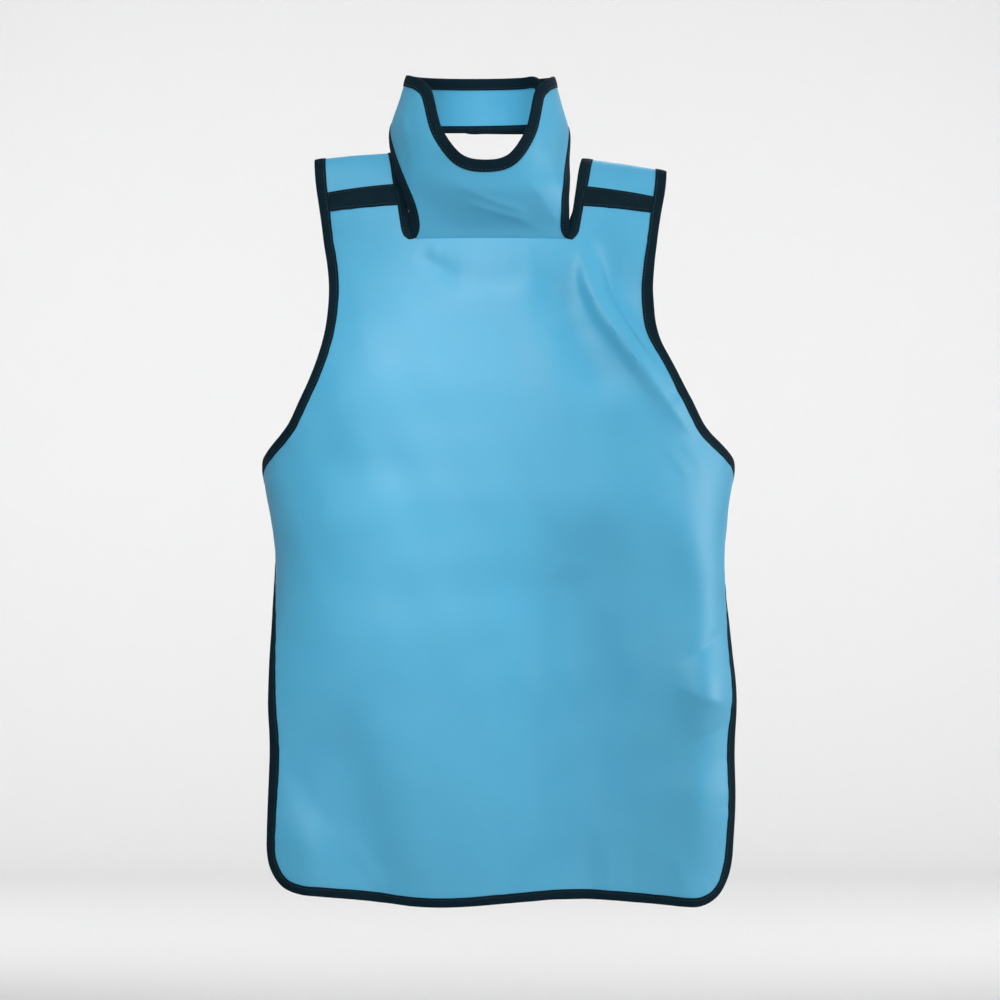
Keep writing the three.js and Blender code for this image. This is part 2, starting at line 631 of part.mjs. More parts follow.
const vest = new THREE.Group();
vest.name = "lead_xray_vest";
for (const [name, [colour, shape]] of Object.entries(shapes)) {
  const mesh = new THREE.Mesh(shape, new THREE.MeshStandardMaterial({ color: colour, roughness: 0.6 }));
  mesh.name = name;
  vest.add(mesh);
}

export default vest;
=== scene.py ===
"""Looks of a lead x-ray vest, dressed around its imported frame.

The frame gives every piece its size and place. Each cloth piece is taken from its solid, laid flat as a cut
pattern, divided into small even triangles, put back on the form and given its finer folds. Tapes, bands and
stitches then follow that cloth. Metres, +Z up, the wearer faces -Y. Left and right are as seen from the
front.
"""

import logging
import math
from contextlib import contextmanager
from dataclasses import dataclass, field
from enum import Enum
from typing import Callable, Iterator

import bpy
import numpy as np
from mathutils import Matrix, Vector
from mathutils.bvhtree import BVHTree
from mathutils.geometry import delaunay_2d_cdt
from mathutils.kdtree import KDTree


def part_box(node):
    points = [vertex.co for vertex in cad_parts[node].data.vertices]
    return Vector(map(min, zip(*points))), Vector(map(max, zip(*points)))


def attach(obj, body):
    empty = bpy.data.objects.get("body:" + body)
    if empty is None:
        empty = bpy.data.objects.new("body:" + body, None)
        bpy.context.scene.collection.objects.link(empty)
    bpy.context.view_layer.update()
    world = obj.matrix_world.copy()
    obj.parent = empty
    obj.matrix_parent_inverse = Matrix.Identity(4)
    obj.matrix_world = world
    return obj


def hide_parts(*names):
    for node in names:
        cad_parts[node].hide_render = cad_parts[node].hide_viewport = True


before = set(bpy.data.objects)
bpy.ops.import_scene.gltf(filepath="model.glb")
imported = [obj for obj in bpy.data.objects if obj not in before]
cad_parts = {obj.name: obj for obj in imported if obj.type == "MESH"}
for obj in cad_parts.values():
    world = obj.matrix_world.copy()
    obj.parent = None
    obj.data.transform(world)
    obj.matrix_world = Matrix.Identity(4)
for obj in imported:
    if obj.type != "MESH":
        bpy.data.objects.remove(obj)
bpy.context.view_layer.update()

# Sizes are in metres unless named otherwise, and a pair holds the two ends of a range
MM = 0.001
BODY = "root"
PATTERN_MAP = "cut_pattern"
MERGE_DISTANCE = 0.01 * MM
RIM_ANGLE = math.radians(55)
SEAM_HEIGHT = -87 * MM
TAPE_WIDTH = 10.2 * MM
SLIT_WIDTH = 8.2 * MM
SLIT_WIDENING = (40 * MM, 80 * MM)
SLIT_TIP = 15 * MM
SLIT_TIP_SHARE = 0.25
STITCH_PITCH = 3.2 * MM
STITCH_LIFT = 0.05 * MM
JOIN_GAP = 8 * MM
PUCKER_START = (3 * MM, 11 * MM)
PUCKER_WAVES = (11 * MM, 26 * MM)
PUCKER_COUNT = 5
UNEVEN_LENGTHS_MM = (45, 130)
UNEVEN_COUNT = 14
UNEVEN_START = (8 * MM, 45 * MM)
VEST_MIDDLE = (0.0, -0.1, -0.3)
WALL_DEPTH = 5.2

Array = np.ndarray
Pair = tuple[float, float]
Triple = tuple[float, float, float]
Stitches = tuple[np.ndarray, np.ndarray, np.ndarray]

log = logging.getLogger("lead_xray_vest")


class Side(Enum):
    """Which shoulder a piece belongs to, as seen from the front."""

    LEFT = "left"
    RIGHT = "right"


class FoldShape(Enum):
    """How the top of a fold looks across its line."""

    SOFT = 2.0
    CREASED = 1.15


class Slot(Enum):
    """Material slots of the record."""

    CLOTH = "lead_cloth"
    TAPE = "dark_tape"


# Colour and node helpers


def linear(hex_colour: str) -> tuple[float, float, float, float]:
    """Turns an sRGB hex colour into linear values.

    Args:
        hex_colour: Six hex digits after a number sign.

    Returns:
        Red, green, blue and an alpha of one.
    """
    parts = [int(hex_colour[i:i + 2], 16) / 255 for i in (1, 3, 5)]
    curve = [c / 12.92 if c <= 0.04045 else ((c + 0.055) / 1.055) ** 2.4 for c in parts]
    return (curve[0], curve[1], curve[2], 1.0)


def add_node(
    tree: bpy.types.NodeTree,
    kind: str,
    settings: dict[str | int, object] | None = None,
    links: dict[str | int, bpy.types.NodeSocket] | None = None,
) -> bpy.types.Node:
    """Adds one node with its settings and links.

    Args:
        tree: The node tree that the node joins.
        kind: Blender's name of the node's type.
        settings: Values of the node's properties, or of its inputs by name or number.
        links: Output sockets that feed the node's inputs, by the input's name or number.

    Returns:
        The new node.
    """
    node = tree.nodes.new(kind)
    for key, value in (settings or {}).items():
        if isinstance(key, str) and hasattr(node, key):
            setattr(node, key, value)
        else:
            node.inputs[key].default_value = value
    for key, socket in (links or {}).items():
        tree.links.new(socket, node.inputs[key])
    return node


def wave_scale(period: float) -> float:
    """Scale of a wave texture whose bands repeat after a length in metres."""
    return 2 * math.pi / (20 * period)


def new_material(name: str) -> tuple[bpy.types.Material, bpy.types.NodeTree]:
    """Makes an empty node material.

    Args:
        name: Name of the material.

    Returns:
        The material and its node tree with no nodes.
    """
    material = bpy.data.materials.new(name)
    material.use_nodes = True
    material.node_tree.nodes.clear()
    return material, material.node_tree


def close_material(
    tree: bpy.types.NodeTree,
    shader: dict[str | int, object],
    links: dict[str | int, bpy.types.NodeSocket],
) -> None:
    """Ends a material with its surface shader and output.

    Args:
        tree: The material's node tree.
        shader: Values on the surface shader's own sockets.
        links: Output sockets that feed the surface shader.
    """
    surface = add_node(tree, "ShaderNodeBsdfPrincipled", shader, links)
    add_node(tree, "ShaderNodeOutputMaterial", links={"Surface": surface.outputs["BSDF"]})


# Finishes


@dataclass(frozen=True)
class CoatedNylon:
    """Woven nylon with a thin polyurethane coat: even colour, a low satin gloss and a fine plain weave.

    The threads are drawn about three times as coarse as real ones, so that the weave shows.
    """

    name: str = "coated_nylon_blue"
    light: str = "#50afd5"
    dark: str = "#48a7cf"
    thread_spacing: float = 0.9 * MM
    mottle: float = 55 * MM
    grain: float = 2.4 * MM
    grain_share: float = 0.35
    relief: float = 0.08 * MM
    relief_strength: float = 0.35
    roughness: Pair = (0.48, 0.58)
    specular: float = 0.6

    def material(self) -> bpy.types.Material:
        """Builds the material, whose weave follows the cut pattern.

        Returns:
            The finished material.
        """
        material, tree = new_material(self.name)
        pattern = add_node(tree, "ShaderNodeUVMap", {"uv_map": PATTERN_MAP}).outputs["UV"]
        place = add_node(tree, "ShaderNodeTexCoord").outputs["Object"]
        threads = []
        for direction in ("X", "Y"):
            bands = {"bands_direction": direction, "Scale": wave_scale(self.thread_spacing)}
            wave = add_node(tree, "ShaderNodeTexWave", bands, {"Vector": pattern})
            centred = {"operation": "SUBTRACT", 1: 0.5}
            threads.append(add_node(tree, "ShaderNodeMath", centred, {0: wave.outputs["Fac"]}).outputs[0])
        weave = add_node(tree, "ShaderNodeMath", {"operation": "MULTIPLY"}, {0: threads[0], 1: threads[1]})
        broad = {"Scale": 1 / self.mottle, "Detail": 1.0, "Roughness": 0.55}
        mottle = add_node(tree, "ShaderNodeTexNoise", broad, {"Vector": place}).outputs["Fac"]
        fine = {"Scale": 1 / self.grain, "Detail": 0.0}
        grain = add_node(tree, "ShaderNodeTexNoise", fine, {"Vector": place}).outputs["Fac"]
        tones = {"data_type": "RGBA", 6: linear(self.dark), 7: linear(self.light)}
        colour = add_node(tree, "ShaderNodeMix", tones, {0: mottle})
        low, high = self.roughness
        spread = {"From Min": 0.3, "From Max": 0.7, "To Min": low, "To Max": high}
        gloss = add_node(tree, "ShaderNodeMapRange", spread, {"Value": mottle})
        share = {"operation": "MULTIPLY_ADD", 1: self.grain_share}
        surface = add_node(tree, "ShaderNodeMath", share, {0: grain, 2: weave.outputs[0]})
        depth = {"Strength": self.relief_strength, "Distance": self.relief}
        bump = add_node(tree, "ShaderNodeBump", depth, {"Height": surface.outputs[0]})
        close_material(
            tree,
            {"IOR": 1.5, "Specular IOR Level": self.specular},
            {
                "Base Color": colour.outputs[2],
                "Roughness": gloss.outputs["Result"],
                "Normal": bump.outputs["Normal"],
            },
        )
        return material


@dataclass(frozen=True)
class RibbedTape:
    """Woven polyester binding tape: dark navy and matt, with fine ribs across it whose grooves are painted
    darker as painted shade, and slightly uneven wear.

    The ribs are drawn about twice as coarse as real ones, so that they show.
    """

    name: str = "ribbed_binding_tape"
    light: str = "#0a2b39"
    dark: str = "#051922"
    rib_spacing: float = 1.1 * MM
    relief: float = 0.15 * MM
    mottle: float = 18 * MM

    def material(self) -> bpy.types.Material:
        """Builds the material, whose ribs lie across the tape.

        Returns:
            The finished material.
        """
        material, tree = new_material(self.name)
        pattern = add_node(tree, "ShaderNodeUVMap", {"uv_map": PATTERN_MAP}).outputs["UV"]
        place = add_node(tree, "ShaderNodeTexCoord").outputs["Object"]
        bands = {"bands_direction": "X", "Scale": wave_scale(self.rib_spacing)}
        ribs = add_node(tree, "ShaderNodeTexWave", bands, {"Vector": pattern}).outputs["Fac"]
        cloudy = {"Scale": 1 / self.mottle, "Detail": 1.0, "Roughness": 0.6}
        wear = add_node(tree, "ShaderNodeTexNoise", cloudy, {"Vector": place}).outputs["Fac"]
        # Painted shade: the colour follows the ribs and is darker in their grooves; it is also darker at
        # random where the noise stands for wear.
        groove_shade_and_wear = add_node(tree, "ShaderNodeMath", {"operation": "MULTIPLY"}, {0: ribs, 1: wear})
        tones = {"data_type": "RGBA", 6: linear(self.dark), 7: linear(self.light)}
        colour = add_node(tree, "ShaderNodeMix", tones, {0: groove_shade_and_wear.outputs[0]})
        bump = add_node(tree, "ShaderNodeBump", {"Strength": 0.5, "Distance": self.relief}, {"Height": ribs})
        close_material(
            tree,
            {"Roughness": 0.8, "Specular IOR Level": 0.1},
            {"Base Color": colour.outputs[2], "Normal": bump.outputs["Normal"]},
        )
        return material


@dataclass(frozen=True)
class SewingThread:
    """Twisted polyester thread: slightly lighter and glossier than the tape it holds down."""

    name: str = "navy_polyester_thread"
    colour: str = "#12303f"
    twist: float = 0.5 * MM
    relief: float = 0.06 * MM

    def material(self) -> bpy.types.Material:
        """Builds the material, with a fine twist across the thread.

        Returns:
            The finished material.
        """
        material, tree = new_material(self.name)
        place = add_node(tree, "ShaderNodeTexCoord").outputs["Object"]
        bands = {"bands_direction": "DIAGONAL", "Scale": wave_scale(self.twist)}
        twist = add_node(tree, "ShaderNodeTexWave", bands, {"Vector": place}).outputs["Fac"]
        bump = add_node(tree, "ShaderNodeBump", {"Strength": 0.4, "Distance": self.relief}, {"Height": twist})
        shader = {"Base Color": linear(self.colour), "Roughness": 0.5}
        close_material(tree, shader, {"Normal": bump.outputs["Normal"]})
        return material


@dataclass(frozen=True)
class LoopPile:
    """Brushed loop pile of a touch fastener: dark, dull and finely tufted."""

    name: str = "loop_pile"
    colour: str = "#0d1f29"
    tuft: float = 1.2 * MM
    relief: float = 0.4 * MM

    def material(self) -> bpy.types.Material:
        """Builds the material with its tufts.

        Returns:
            The finished material.
        """
        material, tree = new_material(self.name)
        place = add_node(tree, "ShaderNodeTexCoord").outputs["Object"]
        tufts = add_node(tree, "ShaderNodeTexVoronoi", {"Scale": 1 / self.tuft}, {"Vector": place})
        depth = {"Strength": 0.8, "Distance": self.relief}
        bump = add_node(tree, "ShaderNodeBump", depth, {"Height": tufts.outputs["Distance"]})
        shader = {"Base Color": linear(self.colour), "Roughness": 0.95, "Sheen Weight": 0.4}
        close_material(tree, shader, {"Normal": bump.outputs["Normal"]})
        return material


@dataclass(frozen=True)
class StudioPaper:
    """Seamless paper roll: pale grey and dead matt."""

    name: str = "studio_paper"
    colour: str = "#f1f1f1"

    def material(self) -> bpy.types.Material:
        """Builds the material.

        Returns:
            The finished material.
        """
        material, tree = new_material(self.name)
        shader = {"Base Color": linear(self.colour), "Roughness": 0.95, "Specular IOR Level": 0.1}
        close_material(tree, shader, {})
        return material


# Mesh helpers


def deselect_all() -> None:
    """Leaves nothing selected, because operators act on all that is selected."""
    for obj in bpy.context.selected_objects:
        obj.select_set(False)


def activate(obj: bpy.types.Object) -> None:
    """Makes one object the only selected and active one.

    Args:
        obj: The object that operators are to act on.
    """
    deselect_all()
    obj.select_set(True)
    bpy.context.view_layer.objects.active = obj


@contextmanager
def editing(obj: bpy.types.Object) -> Iterator[None]:
    """Holds a mesh in edit mode with all of it selected, and puts it back in object mode.

    Args:
        obj: The object to edit.

    Yields:
        Nothing.
    """
    activate(obj)
    bpy.ops.object.mode_set(mode="EDIT")
    bpy.ops.mesh.select_all(action="SELECT")
    yield
    bpy.ops.object.mode_set(mode="OBJECT")


def discard(obj: bpy.types.Object) -> None:
    """Removes an object that only helped to make another, with its mesh.

    Args:
        obj: The object to remove.
    """
    mesh = obj.data
    bpy.data.objects.remove(obj)
    bpy.data.meshes.remove(mesh)


def mesh_object(
    name: str,
    corners: Array,
    faces: list[tuple[int, ...]] | Array,
    pattern: Array | None = None,
) -> bpy.types.Object:
    """Makes a mesh object and links it to the scene.

    Args:
        name: Name of the object.
        corners: Corner places, in metres.
        faces: Corner numbers of each face.
        pattern: Place of each corner on the cut pattern, in metres.

    Returns:
        The new object.
    """
    mesh = bpy.data.meshes.new(name)
    mesh.from_pydata(corners.tolist(), [], [tuple(int(i) for i in face) for face in faces])
    if pattern is not None:
        layer = mesh.uv_layers.new(name=PATTERN_MAP)
        numbers = np.empty(len(mesh.loops), int)
        mesh.loops.foreach_get("vertex_index", numbers)
        layer.data.foreach_set("uv", pattern[numbers].ravel())
    obj = bpy.data.objects.new(name, mesh)
    bpy.context.scene.collection.objects.link(obj)
    return obj


def apply_modifier(obj: bpy.types.Object, kind: str, settings: dict[str, object]) -> None:
    """Adds a modifier and applies it.

    Args:
        obj: The object to change.
        kind: Blender's name of the modifier's type.
        settings: Values of the modifier's properties.
    """
    activate(obj)
    modifier = obj.modifiers.new(kind.title(), kind)
    for key, value in settings.items():
        setattr(modifier, key, value)
    bpy.ops.object.modifier_apply(modifier=modifier.name)


def smooth_shade(obj: bpy.types.Object, angle: float = math.radians(38)) -> None:
    """Shades an object smooth up to an angle between its faces."""
    activate(obj)
    bpy.ops.object.shade_smooth_by_angle(angle=angle)


def face_normals(corners: Array, faces: Array) -> Array:
    """Normal of each triangle, as long as twice its area."""
    a, b, c = (corners[faces[:, k]] for k in range(3))
    return np.cross(b - a, c - a)


def unit(vectors: Array) -> Array:
    """Vectors scaled to a length of one."""
    return vectors / np.maximum(np.linalg.norm(vectors, axis=1, keepdims=True), 1e-12)


def level(flat: Array) -> Array:
    """Pattern places as places in space at height zero."""
    return np.c_[flat, np.zeros(len(flat))]


def lengths_along(places: Array) -> Array:
    """Distance of each place in a row from the first, along the row."""
    return np.r_[0, np.cumsum(np.linalg.norm(np.diff(places, axis=0), axis=1))]


def nearest(targets: Array, places: Array) -> tuple[Array, Array]:
    """Finds the nearest of some pattern places.

    Args:
        targets: Pattern places to choose from.
        places: Pattern places to start from.

    Returns:
        For each place, the number of its nearest target and the distance to it.
    """
    tree = KDTree(len(targets))
    for number, (u, v) in enumerate(targets):
        tree.insert((u, v, 0), number)
    tree.balance()
    found = [tree.find((u, v, 0)) for u, v in places]
    return np.array([f[1] for f in found]), np.array([f[2] for f in found])


def corner_normals(corners: Array, faces: Array) -> Array:
    """Unit normal at each corner of a triangle mesh.

    Args:
        corners: Corner places.
        faces: Corner numbers of each triangle.

    Returns:
        One unit normal a corner.
    """
    normals = np.zeros_like(corners)
    flat = face_normals(corners, faces)
    for k in range(3):
        np.add.at(normals, faces[:, k], flat)
    return unit(normals)


def merged_node(node: str) -> tuple[Array, Array]:
    """Corners and triangles of a copy of a frame node, with its loose corners merged.

    Args:
        node: Name of the node.

    Returns:
        Corner places and the corner numbers of each triangle.
    """
    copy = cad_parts[node].copy()
    copy.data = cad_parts[node].data.copy()
    bpy.context.scene.collection.objects.link(copy)
    with editing(copy):
        bpy.ops.mesh.remove_doubles(threshold=MERGE_DISTANCE)
    mesh = copy.data
    mesh.calc_loop_triangles()
    corners = np.empty(3 * len(mesh.vertices))
    mesh.vertices.foreach_get("co", corners)
    faces = np.empty(3 * len(mesh.loop_triangles), int)
    mesh.loop_triangles.foreach_get("vertices", faces)
    discard(copy)
    return corners.reshape(-1, 3), faces.reshape(-1, 3)


def smooth_patches(corners: Array, faces: Array, limit: float) -> list[Array]:
    """Splits a mesh into patches that meet at edges sharper than a limit.

    Args:
        corners: Corner places.
        faces: Corner numbers of each triangle.
        limit: Largest angle between neighbours in one patch, in radians.

    Returns:
        Face numbers of each patch.
    """
    normals = unit(face_normals(corners, faces))
    beside: dict[tuple[int, int], list[int]] = {}
    for number, face in enumerate(faces.tolist()):
        for a, b in zip(face, face[1:] + face[:1]):
            beside.setdefault((min(a, b), max(a, b)), []).append(number)
    near: list[list[int]] = [[] for _ in faces]
    for pair in beside.values():
        if len(pair) == 2 and normals[pair[0]] @ normals[pair[1]] > math.cos(limit):
            near[pair[0]].append(pair[1])
            near[pair[1]].append(pair[0])
    patches, seen = [], np.zeros(len(faces), bool)
    for start in range(len(faces)):
        if seen[start]:
            continue
        seen[start] = True
        patch, waiting = [], [start]
        while waiting:
            face = waiting.pop()
            patch.append(face)
            for other in near[face]:
                if not seen[other]:
                    seen[other] = True
                    waiting.append(other)
        patches.append(np.array(patch))
    return patches


def outer_side(node: str, core: Array) -> tuple[Array, Array]:
    """The outer side of a sheet's solid, without its rim and inner side.

    Args:
        node: Name of the frame node.
        core: A place on the wearer's side of the sheet.

    Returns:
        Corner places and triangles of the outer side.
    """
    corners, faces = merged_node(node)
    patches = smooth_patches(corners, faces, RIM_ANGLE)
    normals = face_normals(corners, faces)
    middles = corners[faces].mean(axis=1)

    def outwardness(patch: Array) -> float:
        """Area of a patch that faces away from the core."""
        away = unit(middles[patch] - core)
        return float((normals[patch] * away).sum())

    kept = faces[max(patches, key=outwardness)]
    used, numbers = np.unique(kept, return_inverse=True)
    return corners[used], numbers.reshape(-1, 3)


def lay_flat(corners: Array, faces: Array, grain: Array) -> Array:
    """Unwraps one side of a sheet to its cut pattern at its real size.

    Args:
        corners: Corner places of the sheet.
        faces: Its triangles.
        grain: Direction in space that the pattern's second axis follows.

    Returns:
        Pattern place of each corner, in metres.
    """
    obj = mesh_object("pattern", corners, faces, np.zeros((len(corners), 2)))
    with editing(obj):
        bpy.ops.uv.unwrap(method="ANGLE_BASED", fill_holes=False, correct_aspect=False, margin=0.0)
    mesh = obj.data
    numbers = np.empty(len(mesh.loops), int)
    mesh.loops.foreach_get("vertex_index", numbers)
    places = np.empty(2 * len(mesh.loops))
    mesh.uv_layers[PATTERN_MAP].data.foreach_get("uv", places)
    flat = np.zeros((len(corners), 2))
    flat[numbers] = places.reshape(-1, 2)
    discard(obj)
    slope = np.linalg.lstsq(np.c_[flat, np.ones(len(flat))], corners @ grain, rcond=None)[0][:2]
    slope /= np.linalg.norm(slope)
    flat = np.c_[flat @ np.array([slope[1], -slope[0]]), flat @ slope]
    area = face_normals(level(flat), faces)[:, 2]
    if area.sum() < 0:
        flat[:, 0] *= -1
    real = np.linalg.norm(face_normals(corners, faces), axis=1).sum()
    flat *= math.sqrt(real / np.abs(area).sum())
    return flat - (flat.min(axis=0) + flat.max(axis=0)) / 2


def rim_loop(faces: Array) -> list[int]:
    """Corner numbers round the edge of a sheet, with the sheet on the left.

    Args:
        faces: Triangles of the sheet.

    Returns:
        The longest loop of edge corners, in order.
    """
    edges = {(a, b) for face in faces.tolist() for a, b in zip(face, face[1:] + face[:1])}
    after = {a: b for a, b in edges if (b, a) not in edges}
    loops = []
    while after:
        start, here = after.popitem()
        loop = [start]
        while here != start:
            loop.append(here)
            here = after.pop(here)
        loops.append(loop)
    return max(loops, key=len)


def curve_through(knots: Array, spacing: float) -> Array:
    """Points on a smooth curve through some knots.

    Args:
        knots: Places to pass through, whose last three columns are a place in space.
        spacing: Longest distance between points along the curve.

    Returns:
        The points, both ends among them.
    """
    at = lengths_along(knots[:, -3:])
    if len(knots) > 2:
        slopes = np.gradient(knots, at, axis=0)
    else:
        slopes = np.repeat(np.diff(knots, axis=0) / at[-1], 2, axis=0)
    places = np.linspace(0, at[-1], max(2, math.ceil(at[-1] / spacing) + 1))
    k = np.clip(np.searchsorted(at, places, side="right") - 1, 0, len(at) - 2)
    width = (at[k + 1] - at[k])[:, None]
    t = ((places - at[k])[:, None]) / width
    start = (1 + 2 * t) * (1 - t) ** 2 * knots[k] + t * (1 - t) ** 2 * width * slopes[k]
    end = t * t * (3 - 2 * t) * knots[k + 1] + t * t * (t - 1) * width * slopes[k + 1]
    return start + end


# Cloth


@dataclass(frozen=True)
class Fold:
    """One fold of the cloth along a line on the front, in millimetres as seen from the front.

    reach is how far the fold spreads to the left and right of its line, seen along the line. The fold
    fades at both ends over a share of its length or a number of reaches, whichever is less.
    """

    name: str
    line: tuple[Pair, ...]
    reach: Pair
    rise: float
    shape: FoldShape = FoldShape.SOFT
    fade_share: float = 0.45
    fade_reaches: float = 2.2
    fade_outside: float = 0.5

    def height(self, x: Array, z: Array) -> Array:
        """Height of the fold at places on the front.

        Args:
            x: Places across, in millimetres.
            z: Places up, in millimetres.

        Returns:
            Heights in millimetres.
        """
        best = np.full(x.shape, np.inf)
        side = np.ones(x.shape)
        along = np.zeros(x.shape)
        knots = np.array(self.line, float)
        lengths = np.linalg.norm(np.diff(knots, axis=0), axis=1)
        total, done = lengths.sum(), 0.0
        for (x0, z0), (x1, z1), length in zip(knots[:-1], knots[1:], lengths):
            ux, uz = (x1 - x0) / length, (z1 - z0) / length
            t = (x - x0) * ux + (z - z0) * uz
            first = done == 0.0
            last = done + length >= total - 1e-9
            held = np.clip(t, -np.inf if first else 0, np.inf if last else length)
            dx, dz = x - x0 - held * ux, z - z0 - held * uz
            apart = np.hypot(dx, dz)
            nearer = apart < best
            best = np.where(nearer, apart, best)
            side = np.where(nearer, np.sign(ux * (z - z0) - uz * (x - x0)), side)
            along = np.where(nearer, done + t, along)
            done += length
        reach = np.where(side > 0, self.reach[0], self.reach[1])
        fade = min(self.fade_share * total, self.fade_reaches * max(self.reach))
        past = self.fade_outside * fade
        ends = ramp(along, -past, fade) * (1 - ramp(along, total - fade, total + past))
        return self.rise * ends * np.exp(-((best / reach) ** self.shape.value))


def ramp(values: Array, low: float, high: float) -> Array:
    """Smooth step from 0 at one value to 1 at another."""
    t = np.clip((values - low) / (high - low), 0, 1)
    return t * t * (3 - 2 * t)


@dataclass
class EdgeRun:
    """A stretch of a cloth's edge that a tape covers: pattern places in order, the cloth on the left."""

    cloth: "Cloth"
    places: Array

    def ends(self) -> tuple[Array, Array]:
        """First and last place in space."""
        points, _ = self.cloth.sample(self.places[[0, -1]])
        return points[0], points[1]


@dataclass
class Cloth:
    """A sheet of cloth on its form, with the cut pattern that it comes from.

    flat and solid hold the corners' places on the pattern and in space, those of the edge first.
    """

    node: str
    core: Triple
    spacing: float
    thickness: float = 2 * MM
    grain: Triple = (0.0, 0.0, 1.0)
    smoothing: int = 60
    smooth_steps: Pair = (0.5, -0.53)
    corner_turn: float = math.radians(46)
    clear_share: float = 0.7
    bent_share: float = 0.7
    fold_facing: Pair = (0.0, 0.35)
    run_share: float = 0.45
    run_length: float = 150 * MM
    flat: Array = field(init=False)
    solid: Array = field(init=False)
    faces: Array = field(init=False)
    stretches: list[Array] = field(init=False)
    rim_count: int = field(init=False)

    def __post_init__(self) -> None:
        """Takes the sheet from its frame node, cuts it fine and puts it back on the form."""
        corners, faces = outer_side(self.node, np.array(self.core))
        pattern = lay_flat(corners, faces, np.array(self.grain))
        self._cut(corners, faces, pattern)
        self._put_on_form(corners, faces, pattern)

    def _cut(self, corners: Array, faces: Array, pattern: Array) -> None:
        """Divides the pattern into small even triangles inside a smooth outline.

        Args:
            corners: Corner places of the coarse sheet.
            faces: Its triangles.
            pattern: Its corners on the cut pattern.
        """
        loop = np.array(rim_loop(faces))
        knots = np.c_[pattern, corners][loop]
        steps = np.roll(knots[:, :2], -1, axis=0) - knots[:, :2]
        heading = np.arctan2(steps[:, 1], steps[:, 0])
        turn = np.abs((heading - np.roll(heading, 1) + math.pi) % (2 * math.pi) - math.pi)
        sharp = np.flatnonzero(turn > self.corner_turn)
        knots = np.roll(knots, -sharp[0], axis=0)
        sharp = np.r_[sharp - sharp[0], len(knots)]
        knots = np.r_[knots, knots[:1]]
        stretches = [curve_through(knots[a:b + 1], self.spacing)[:-1] for a, b in zip(sharp[:-1], sharp[1:])]
        rim = np.concatenate(stretches)
        counts = np.cumsum([0] + [len(s) for s in stretches])
        self.stretches = [np.arange(a, b + 1) % len(rim) for a, b in zip(counts[:-1], counts[1:])]
        self.rim_count = len(rim)
        low, high = rim[:, :2].min(axis=0), rim[:, :2].max(axis=0)
        rows = np.arange(low[1], high[1], self.spacing * math.sqrt(3) / 2)
        columns = np.arange(low[0] - self.spacing, high[0] + self.spacing, self.spacing)
        across = columns[None, :] + (np.arange(len(rows)) % 2)[:, None] * self.spacing / 2
        up = np.repeat(rows[:, None], len(columns), axis=1)
        grid = np.stack([across, up], axis=-1).reshape(-1, 2)
        _, distance = nearest(rim[:, :2], grid)
        points = np.r_[rim[:, :2], grid[distance > self.clear_share * self.spacing]]
        edges = [(i, (i + 1) % len(rim)) for i in range(len(rim))]
        found = delaunay_2d_cdt([Vector(p) for p in points], edges, [], 1, 1e-9)
        flat = np.array([tuple(p) for p in found[0]])
        triangles = np.array(found[2])
        used, numbers = np.unique(triangles, return_inverse=True)
        self.flat = flat[used]
        self.faces = numbers.reshape(-1, 3)
        self.solid = np.zeros((len(used), 3))
        self.solid[:len(rim)] = rim[:, 2:]

    def _put_on_form(self, corners: Array, faces: Array, pattern: Array) -> None:
        """Gives every corner its place on the form and evens out the coarse facets.

        Args:
            corners: Corner places of the coarse sheet.
            faces: Its triangles.
            pattern: Its corners on the cut pattern.
        """
        normals = corner_normals(corners, faces)
        number, weights = locate(pattern, faces, self.flat)
        around = corners[faces[number]]
        facing = normals[faces[number]]
        chord = (weights[:, :, None] * around).sum(axis=1)
        drop = ((chord[:, None, :] - around) * facing).sum(axis=2, keepdims=True)
        bent = (weights[:, :, None] * (chord[:, None, :] - drop * facing)).sum(axis=1)
        inside = slice(self.rim_count, None)
        self.solid[inside] = ((1 - self.bent_share) * chord + self.bent_share * bent)[inside]
        self.smooth(self.smoothing)

    def smooth(self, rounds: int) -> None:
        """Evens out the surface without shrinking it, with the edge held.

        Args:
            rounds: How many times to smooth out and back.
        """
        edges = np.r_[self.faces[:, [0, 1]], self.faces[:, [1, 2]], self.faces[:, [2, 0]]]
        edges = np.unique(np.sort(edges, axis=1), axis=0)
        start, end = np.r_[edges[:, 0], edges[:, 1]], np.r_[edges[:, 1], edges[:, 0]]
        count = np.bincount(start, minlength=len(self.solid))[:, None]
        for step in self.smooth_steps * rounds:
            sums = [np.bincount(start, self.solid[end, k], len(self.solid)) for k in range(3)]
            moved = step * (np.stack(sums, axis=1) / count - self.solid)
            moved[:self.rim_count] = 0
            self.solid += moved

    def normals(self) -> Array:
        """Unit normal of the cloth at each corner."""
        return corner_normals(self.solid, self.faces)

    def raise_by(self, height: Array) -> None:
        """Moves every corner out along its normal by a height in metres."""
        self.solid += self.normals() * height[:, None]

    def fold(self, folds: tuple[Fold, ...], free: Array | float = 1.0) -> None:
        """Adds folds, drawn as seen from the front, to the cloth that faces the front.

        Args:
            folds: The folds to add.
            free: Share of the folds' height at each corner, none where the cloth is sewn down.
        """
        x, z = self.solid[:, 0] / MM, self.solid[:, 2] / MM
        height = sum(fold.height(x, z) for fold in folds)
        facing = ramp(-self.normals()[:, 1], *self.fold_facing)
        self.raise_by(height * facing * free * MM)

    def edge_distance(self) -> tuple[Array, Array]:
        """Measures how far each corner lies from the edge.

        Returns:
            The distance of each corner from the edge, and how far along the edge its nearest point lies.
        """
        rim = self.flat[:self.rim_count]
        number, distance = nearest(rim, self.flat)
        return distance, lengths_along(rim)[number]

